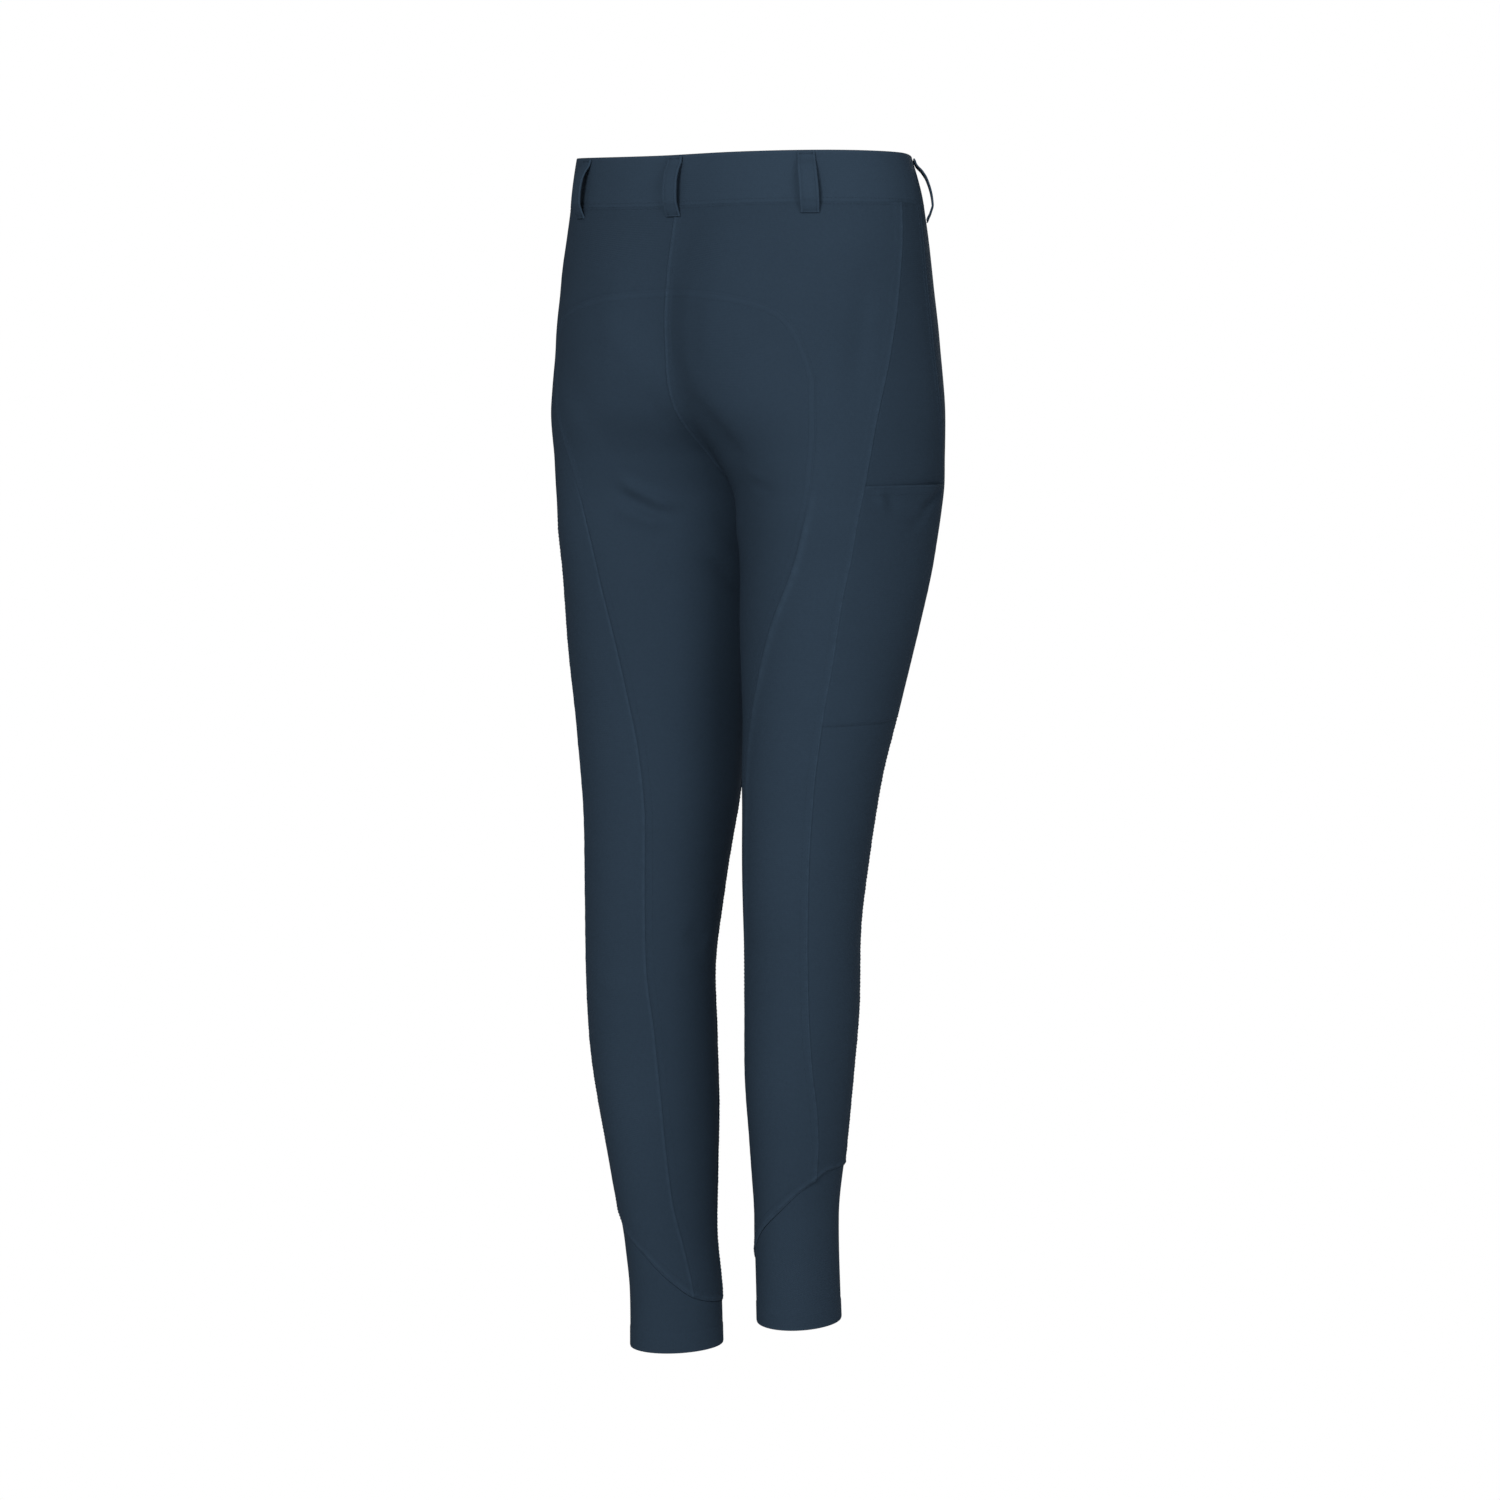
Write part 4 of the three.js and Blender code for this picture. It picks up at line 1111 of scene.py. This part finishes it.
def tube_object(name, grid, painted_light_and_shade=None):
    """A closed ring swept along, with both ends shut; the grid holds one ring a row."""
    count, size = grid.shape[:2]
    faces = grid_faces(count, size, True, 0, False)
    middle = count // 2
    test = np.cross(grid[middle, 3] - grid[middle - 1, 3], grid[middle, 4] - grid[middle, 3])
    flip = np.dot(test, grid[middle, 3] - grid[middle].mean(axis=0)) < 0
    faces = faces[:, ::-1] if flip else faces
    caps = [list(range(size)), list(range((count - 1) * size, count * size))]
    caps = [caps[0], caps[1][::-1]] if flip else [caps[0][::-1], caps[1]]
    run, girth = run_along(grid[:, 3]), run_along(grid[middle])
    uv = np.stack(np.broadcast_arrays(run[:, None], girth[None, :]), -1).reshape(-1, 2)
    return mesh_object(name, grid.reshape(-1, 3), faces.tolist() + caps, uv, painted_light_and_shade)


# How far a loop bows out: height, share of its bow
LOOP_BEND = curve([
    [-29, 0], [-27.5, 0.1], [-24, 0.5], [-17, 0.92], [-8, 1], [1, 0.9], [8, 0.58], [14, 0.1], [18.5, 0],
])
# Across a loop: place, height of its face as a share of its thickness, painted light and shade (painted
# highlights on its rounded edges, painted shade at its stitch lines)
LOOP_ACROSS = [-7.0, -7.2, -7.05, -6.5, -5.6, -4.9, -4.2, -2, 0, 2, 4.2, 4.9, 5.6, 6.5, 7.05, 7.2, 7.0]
LOOP_CROWN = [0.1, 0.45, 0.8, 1.0, 0.98, 0.86, 0.98, 1.06, 1.08, 1.06, 0.98, 0.86, 0.98, 1.0, 0.8, 0.45, 0.1]
LOOP_PAINTED_LIGHT = [0.1, 0.3, 0.6, 0.5, 0.1, -0.3, 0, 0.1, 0.1, 0.1, 0, -0.3, 0.1, 0.5, 0.6, 0.3, 0.1]


def loop_rise(height, clear):
    """How far the back of a belt loop stands off the worn form."""
    over_band = BAND_PROUD * float(smooth((height - BAND_LOW + 3) / 5))
    belly = 0.5 * math.sin(math.pi * min(max((height + 20) / 40, 0), 1)) ** 0.7
    return LAY + clear + over_band + belly + LOOP_BOW * float(LOOP_BEND(height))


def lay_loop(name, spot_of, clear=0.0):
    """Belt loop: a folded strip, held down at both ends. Gives its stitch rows."""

    def point(across, height, up):
        side, angle = spot_of(across, height)
        n = normals(side, angle, height)
        return surface(side, angle, height) + n * (loop_rise(height, clear) + up), n

    heights = np.linspace(LOOP_TOP, LOOP_LOW, 54)
    last = len(LOOP_ACROSS)
    grid, painted_light_and_shade = [], []
    for height in heights:
        face = [point(u, height, LOOP_THICK * c)[0] for u, c in zip(LOOP_ACROSS, LOOP_CROWN)]
        under = [point(LOOP_ACROSS[k], height, 0.0)[0] for k in range(last - 2, 0, -1)]
        grid.append(face + under)
        painted_light_and_shade.append(LOOP_PAINTED_LIGHT + [0] * (last - 2))
    grid = np.array(grid)
    loop = tube_object(name + "_cloth", grid, np.array(painted_light_and_shade))
    finish_piece(loop, BAND_CLOTH_PAINTED_LIGHTER, "softshell", name)
    sheets[name] = (loop, cut_size(grid[:, :last]))
    down = np.arange(LOOP_TOP - 2, LOOP_LOW + 1.5, -2.6)
    rows = [[point(u, h, 0.88 * LOOP_THICK) for h in down] for u in (-4.9, 4.9)]
    across = np.arange(-5, 5.1, 1.0)
    for h in (LOOP_TOP - 1.6, LOOP_LOW + 1.6):
        for k in (-0.5, 0, 0.5):
            rows.append([point(u, h + k, 1.06 * LOOP_THICK) for u in across])
    return rows


def lay_loops(sewing):
    """The five belt loops and their stitches."""

    def middle_spot(u, height):
        meet = float(back_meet(height))
        return (LEFT if u <= 0 else RIGHT), meet - abs(u) / per_degree(LEFT, meet - 1, height)

    def side_spot(side, centre):
        step = float(per_degree(LEFT, centre, 0.0))
        return lambda u, height: (side, centre + u / step)

    rows = lay_loop("belt_loop_back_middle", middle_spot, MIDDLE_LOOP_CLEAR)
    for side, word in HALVES:
        for place, angles in (("back", BACK_LOOP_ANGLE), ("side", SIDE_LOOP_ANGLE)):
            rows += lay_loop(f"belt_loop_{place}_{word}", side_spot(side, angles[side]))
    for row in rows:
        sewing.add(np.array([p for p, _ in row]), np.array([n for _, n in row]), length=1.9, radius=0.2)


def lay_shield():
    """The plain shield behind the closed front."""
    z = np.linspace(SHIELD_TOP, SHIELD_END, 60)
    meet = front_meet(z)
    offsets = np.linspace(-17, 17, 14)
    points, out = [], []
    for u in offsets:
        side = LEFT if u >= 0 else RIGHT
        a = meet + abs(u) / per_degree(side, meet, z)
        points.append(surface(side, a, z))
        out.append(normals(side, a, z))
    points, out = np.stack(points, 1), np.stack(out, 1)
    outer = points - out * (PANEL_THICK + LAY + SHIELD_DEEP)
    inner, painted_light_and_shade = outer - out * SHIELD_THICK, np.zeros(outer.shape[:2])
    lay_sheet("fly_shield", outer, inner, out, painted_light_and_shade, SOFTSHELL, "softshell")


# Face of the button as it is turned: radius, height
BUTTON_PROFILE = [
    (0, 0), (7.2, 0), (8.0, 0.25), (8.5, 0.9), (8.5, 1.7), (8.15, 2.3), (7.6, 2.6), (6.9, 2.6), (6.3, 2.3),
    (5.6, 1.95), (4.5, 1.85), (3.0, 1.95), (2.6, 2.15), (2.0, 2.2), (1.2, 2.1), (0, 2.1),
]
BUTTON_TURNS = 56
BUTTON_FROM_MIDDLE = 12


def turned_button():
    angle = angle_away(float(front_meet(0.0)), BUTTON_FROM_MIDDLE)
    centre, out = surface(LEFT, angle, 0.0), normals(LEFT, angle, 0.0)
    lift = BAND_PROUD + BAND_THICK + LAY + LAY + 0.7
    lean = np.array(Vector((0, 0, 1)).rotation_difference(Vector(out)).to_matrix())
    points = []
    for radius, height in BUTTON_PROFILE:
        for k in range(BUTTON_TURNS):
            t = 2 * math.pi * k / BUTTON_TURNS
            spot = np.array([radius * math.cos(t), radius * math.sin(t), height + lift])
            points.append(centre + lean @ spot)
    faces = grid_faces(len(BUTTON_PROFILE), BUTTON_TURNS, True, 0, True)
    button = mesh_object("waist_button_dark", points, faces.tolist())
    finish_piece(button, BUTTON_METAL, "dark_metal", "waist_button")


# ---- Sewing ----

def stitch_row(centres, tangents, outs, length=2.5, radius=0.26):
    """Short spindles of thread lying on the cloth, as one set of points and faces."""
    count = len(centres)
    tangents = tangents / np.linalg.norm(tangents, axis=1, keepdims=True)
    sideways = np.cross(outs, tangents)
    sideways /= np.linalg.norm(sideways, axis=1, keepdims=True)
    points = []
    for s, r, sink in ((-0.5, 0.45, -0.2), (0.0, 1.0, 0.0), (0.5, 0.45, -0.2)):
        middle = centres + tangents * (s * length) + outs * sink
        for u, v in ((1, 0), (0, 1), (-1, 0), (0, -0.6)):
            points.append(middle + sideways * (u * r * radius * 1.15) + outs * (v * r * radius))
    points = np.stack(points, 1)
    faces = []
    for ring in (0, 1):
        for k in range(4):
            a, b = ring * 4 + k, ring * 4 + (k + 1) % 4
            faces.append([a, b, b + 4, a + 4])
    faces += [[3, 2, 1, 0], [8, 9, 10, 11]]
    faces = np.array(faces)
    every = faces[None] + (np.arange(count) * 12)[:, None, None]
    return points.reshape(-1, 3), every.reshape(-1, 4)


class Sewing:
    """Gathers rows of stitches and lays them as one mesh."""

    def __init__(self, name):
        self.name, self.count = name, 0
        self.points, self.faces = [], []

    def add(self, centres, outs, **size):
        """A row of stitches at these places on the cloth."""
        if len(centres) < 2:
            return
        points, faces = stitch_row(centres, np.gradient(centres, axis=0), outs, **size)
        self.points.append(points)
        self.faces.append(faces + self.count)
        self.count += len(points)

    def on_form(self, side, angle, z, relief, **size):
        outs = normals(side, angle, z)
        self.add(surface(side, angle, z) + outs * (relief + 0.1)[:, None], outs, **size)

    def on_piece(self, side, piece, line, distance, start=0.0, end=1.0):
        """A row beside a seam, as far as the end of the leg."""
        angle, z = seam_lines[side][line].beside(distance, start, end)
        keep = z > row_height(angle, np.full_like(z, LEG_END)) + 1
        angle, z = angle[keep], z[keep]
        self.on_form(side, angle, z, piece_relief(side, piece, angle, z)[0])

    def tack(self, side, piece, angle, z, turn, length=7.0):
        """A bar tack: a few close stitches across a short length."""
        degree = float(per_degree(side, angle, z))
        for shift in (-0.7, 0.0, 0.7):
            s = np.arange(-length / 2, length / 2 + 0.1, 0.9)
            x = s * math.cos(turn) - shift * math.sin(turn)
            y = s * math.sin(turn) + shift * math.cos(turn)
            a, h = angle + x / degree, z + y
            self.on_form(side, a, h, piece_relief(side, piece, a, h)[0], length=1.1, radius=0.22)

    def lay(self):
        points, faces = np.concatenate(self.points), np.concatenate(self.faces)
        piece = mesh_object(self.name, points, faces.tolist(), points[:, [0, 2]])
        return finish_piece(piece, THREAD, "softshell")


def facing(side, line, distance, own, start=0.2, end=0.8):
    """The sign that puts a row where own(angle, height) is true."""
    angle, z = seam_lines[side][line].beside(distance, start, end)
    return distance if np.mean(own(angle, z)) > 0.5 else -distance


def inward(side, piece, line, distance):
    """The sign that puts a row on the piece's own side of a seam."""

    def own(angle, z):
        low, high = {
            "back": (back_seam(z), patch_edge[side](z)),
            "side": (front_seam(z), back_seam(z)),
            "patch": (patch_edge[side](z), 200.0),
            "front": (-175.0, front_seam(z)),
        }[piece]
        turned = np.where((angle > 170) & (piece == "front"), angle - 360, angle)
        return (turned > low) & (turned < high)

    return facing(side, line, distance, own, 0.45, 0.5)


# Pieces round the end of the leg: from angle, to angle
END_PIECES = [("front", -150, -33), ("side", -33, 28), ("back", 28, 152), ("patch", 152, 230)]


def sew_leg_end(sewing, side):
    """Two rows round the slanted end of the leg."""
    for distance in (2.0, 7.0):
        reach = facing(side, "cuff", distance, lambda a, z: z > cuff_edge(unwrapped(a)))
        angle, z = seam_lines[side]["cuff"].beside(reach)
        relief = np.zeros_like(z)
        for piece, low, high in END_PIECES:
            own = (angle > low) & (angle <= high)
            if own.any():
                relief[own] = piece_relief(side, piece, angle[own], z[own])[0]
        sewing.on_form(side, angle, z, relief)


def sew_fly(sewing, side, setback):
    """The curved row that holds the shield behind the closed front."""
    straight = np.arange(BAND_LOW - 3, FLY_TURN, -3.0)
    bend = np.radians(np.arange(0, 89, 5.5))
    z = np.concatenate([straight, FLY_TURN - (FLY_TURN - FLY_END) * np.sin(bend)])
    away = np.concatenate([np.full(len(straight), setback), 2 + (setback - 2) * np.cos(bend)])
    meet = front_meet(z)
    angle = meet + away / per_degree(side, meet, z)
    sewing.on_form(side, angle, z, piece_relief(side, "front", angle, z)[0], length=2.3)


def sew_band(sewing, centres, outs):
    """The row along the lower edge of the waistband."""
    run = run_along(centres)
    at = np.arange(2, run[-1] - 2, 3.2)
    points = np.stack([np.interp(at, run, centres[:, k]) for k in range(3)], -1)
    normal = np.stack([np.interp(at, run, outs[:, k]) for k in range(3)], -1)
    sewing.add(points + normal * 0.1, normal)


def sew_half(side, word):
    """All the rows of stitches and bar tacks of one half."""
    sewing = Sewing(f"stitching_{word}")
    for piece, line in (("patch", "patch"), ("back", "back"), ("side", "front"), ("front", "inner")):
        for distance in (ROW_NEAR, ROW_FAR):
            sewing.on_piece(side, piece, line, inward(side, piece, line, distance))
    for distance in (ROW_NEAR, ROW_FAR) if side == RIGHT else ():
        reach = facing(side, "centre_back", distance, lambda a, z: a < back_meet(z))
        sewing.on_piece(side, "back", "centre_back", reach, 0.0, 0.26)
        sewing.on_piece(side, "patch", "centre_back", reach, 0.27, 0.97)
    reach = facing(side, "waist", 2.0, lambda a, z: z < BAND_LOW)
    for piece, low, high in (("front", 0.0, 0.3), ("side", 0.33, 0.36), ("back", 0.41, 1.0)):
        sewing.on_piece(side, piece, "waist", reach, low, high)
    for distance in (2.0, 7.5):
        reach = facing(side, "pocket_mouth", distance, lambda a, z: z < POCKET_MOUTH)
        sewing.on_piece(side, "pocket", "pocket_mouth", reach, 0.03, 0.97)
    reach = facing(side, "pocket_end", 2.0, lambda a, z: z > POCKET_END)
    sewing.on_piece(side, "pocket", "pocket_end", reach, 0.03, 0.97)
    for seam, inset in ((back_seam, -5), (front_seam, 5)):
        sewing.tack(side, "pocket", float(seam(POCKET_MOUTH)) + inset, POCKET_MOUTH - 4.5, math.pi / 2)
    end_angle = float(patch_edge[side](PATCH_EDGE[-1][0] + 22))
    sewing.tack(side, "patch", end_angle + 5, float(cuff_edge(end_angle)) + 10, 0.5)
    sew_leg_end(sewing, side)
    for setback in (32, 27) if side == RIGHT else ():
        sew_fly(sewing, side, setback)
    return sewing


for side, word in HALVES:
    lay_half(side, word)
waist_sewing = Sewing("stitching_waist")
sew_band(waist_sewing, *lay_waistband())
lay_loops(waist_sewing)
lay_shield()
turned_button()
sewn = {"waistband": waist_sewing.lay()}
for side, word in HALVES:
    sewn["back_panel_" + word] = sew_half(side, word).lay()

# What each piece of cloth is sewn to or lies on
RESTS_ON = {
    "back_panel": ["side_panel", "seat_patch", "waistband"],
    "side_panel": ["back_panel", "front_panel", "waistband"],
    "front_panel": ["side_panel", "seat_patch", "waistband"],
    "seat_patch": ["back_panel", "front_panel"],
    "thigh_pocket": ["side_panel"],
    "ankle_cuff": ["front_panel", "side_panel", "back_panel", "seat_patch"],
    "belt_loop_back": ["waistband", "back_panel"],
    "belt_loop_side": ["waistband", "front_panel"],
    "belt_loop_back_middle": ["waistband", "back_panel"],
    "waistband": ["front_panel", "side_panel", "back_panel"],
    "fly_shield": ["front_panel"],
}


def declare_sheets():
    """Works out the cut of every sheet of cloth, in metres, and what it rests on, but does nothing with
    them.
    """
    for node, (piece, (width, length, area)) in sheets.items():
        kind, _, word = node.rpartition("_")
        words = [word] if word in ("left", "right") else ["left", "right"]
        below = RESTS_ON[kind if len(words) == 1 else node]
        rests = [f"{name}_{word}_cloth" for word in words for name in below if name != "waistband"]
        if "waistband" in below:
            rests.insert(0 if below[0] == "waistband" else len(rests), "waistband_cloth")
        with_pieces = [sewn[node]] if node in sewn else []
        area = min(area, width * length)


declare_sheets()


# ---- Floor, light and camera ----

TARGET = (0.0, -0.009, -0.4645)
DISTANCE = 2.95
LENS = 85
LIFT = 5.4
FLOOR_TONE = 0.6
FLOOR_LEVEL = -1.04
FLOOR_HALF = 9.0
SKY_STRENGTH = 0.19
LIGHT_AIM = (0, 0, -0.45)
# name, turn from straight behind, lift, distance, size, power
LIGHTS = [
    ["key", 20, 26, 5.0, (1.2, 1.6), 140],
    ["side_fill", 64, 14, 4.0, (1.5, 2.0), 38],
    ["front_fill", 205, 30, 3.4, (1.6, 1.8), 72],
]


def white_to_camera(tree, kind, lit, output):
    """Shows plain white to the camera and the given surface to everything else."""
    white = add_node(tree, kind, {"Color": (1, 1, 1, 1), "Strength": 1.0})
    path = tree.nodes.new("ShaderNodeLightPath")
    inputs = {"Fac": path.outputs["Is Camera Ray"], 1: lit, 2: white.outputs[0]}
    choice = add_node(tree, "ShaderNodeMixShader", inputs)
    tree.links.new(choice.outputs[0], tree.nodes[output].inputs["Surface"])


def lay_floor():
    size, level = FLOOR_HALF, FLOOR_LEVEL
    corners = [(-size, -size, level), (size, -size, level), (size, size, level), (-size, size, level)]
    mesh = bpy.data.meshes.new("floor")
    mesh.from_pydata(corners, [], [[0, 1, 2, 3]])
    floor = bpy.data.objects.new("floor", mesh)
    material, tree, shader = new_material("pale_floor", 0.95, 0.1)
    shader.inputs["Base Color"].default_value = (FLOOR_TONE, FLOOR_TONE, FLOOR_TONE, 1)
    white_to_camera(tree, "ShaderNodeEmission", shader.outputs[0], "Material Output")
    floor.data.materials.append(material)
    bpy.context.scene.collection.objects.link(floor)


def lay_sky():
    world = bpy.data.worlds.new("studio")
    bpy.context.scene.world = world
    world.use_nodes = True
    sky = world.node_tree.nodes["Background"]
    sky.inputs["Color"].default_value = (1, 1, 1, 1)
    sky.inputs["Strength"].default_value = SKY_STRENGTH
    white_to_camera(world.node_tree, "ShaderNodeBackground", sky.outputs[0], "World Output")


def stand_behind(name, thing, aim, turn, lift, distance):
    """Puts a light or camera round the garment, looking at the aim."""
    a, e = math.radians(turn), math.radians(lift)
    ray = Vector((-math.sin(a) * math.cos(e), math.cos(a) * math.cos(e), math.sin(e)))
    holder = bpy.data.objects.new(name, thing)
    holder.location = Vector(aim) + ray * distance
    holder.rotation_mode = "QUATERNION"
    holder.rotation_quaternion = ray.to_track_quat("Z", "Y")
    bpy.context.scene.collection.objects.link(holder)
    return holder


def light_and_camera():
    for name, turn, lift, distance, size, power in LIGHTS:
        light = bpy.data.lights.new(name, "AREA")
        light.shape = "RECTANGLE"
        light.size, light.size_y = size
        light.energy = power
        stand_behind(name, light, LIGHT_AIM, turn, lift, distance)
    camera = bpy.data.cameras.new("camera")
    camera.lens = LENS
    camera.sensor_width = 36
    bpy.context.scene.camera = stand_behind("camera", camera, TARGET, VIEW_ANGLE, LIFT, DISTANCE)
    bpy.context.scene.view_settings.view_transform = "Standard"


lay_floor()
lay_sky()
light_and_camera()
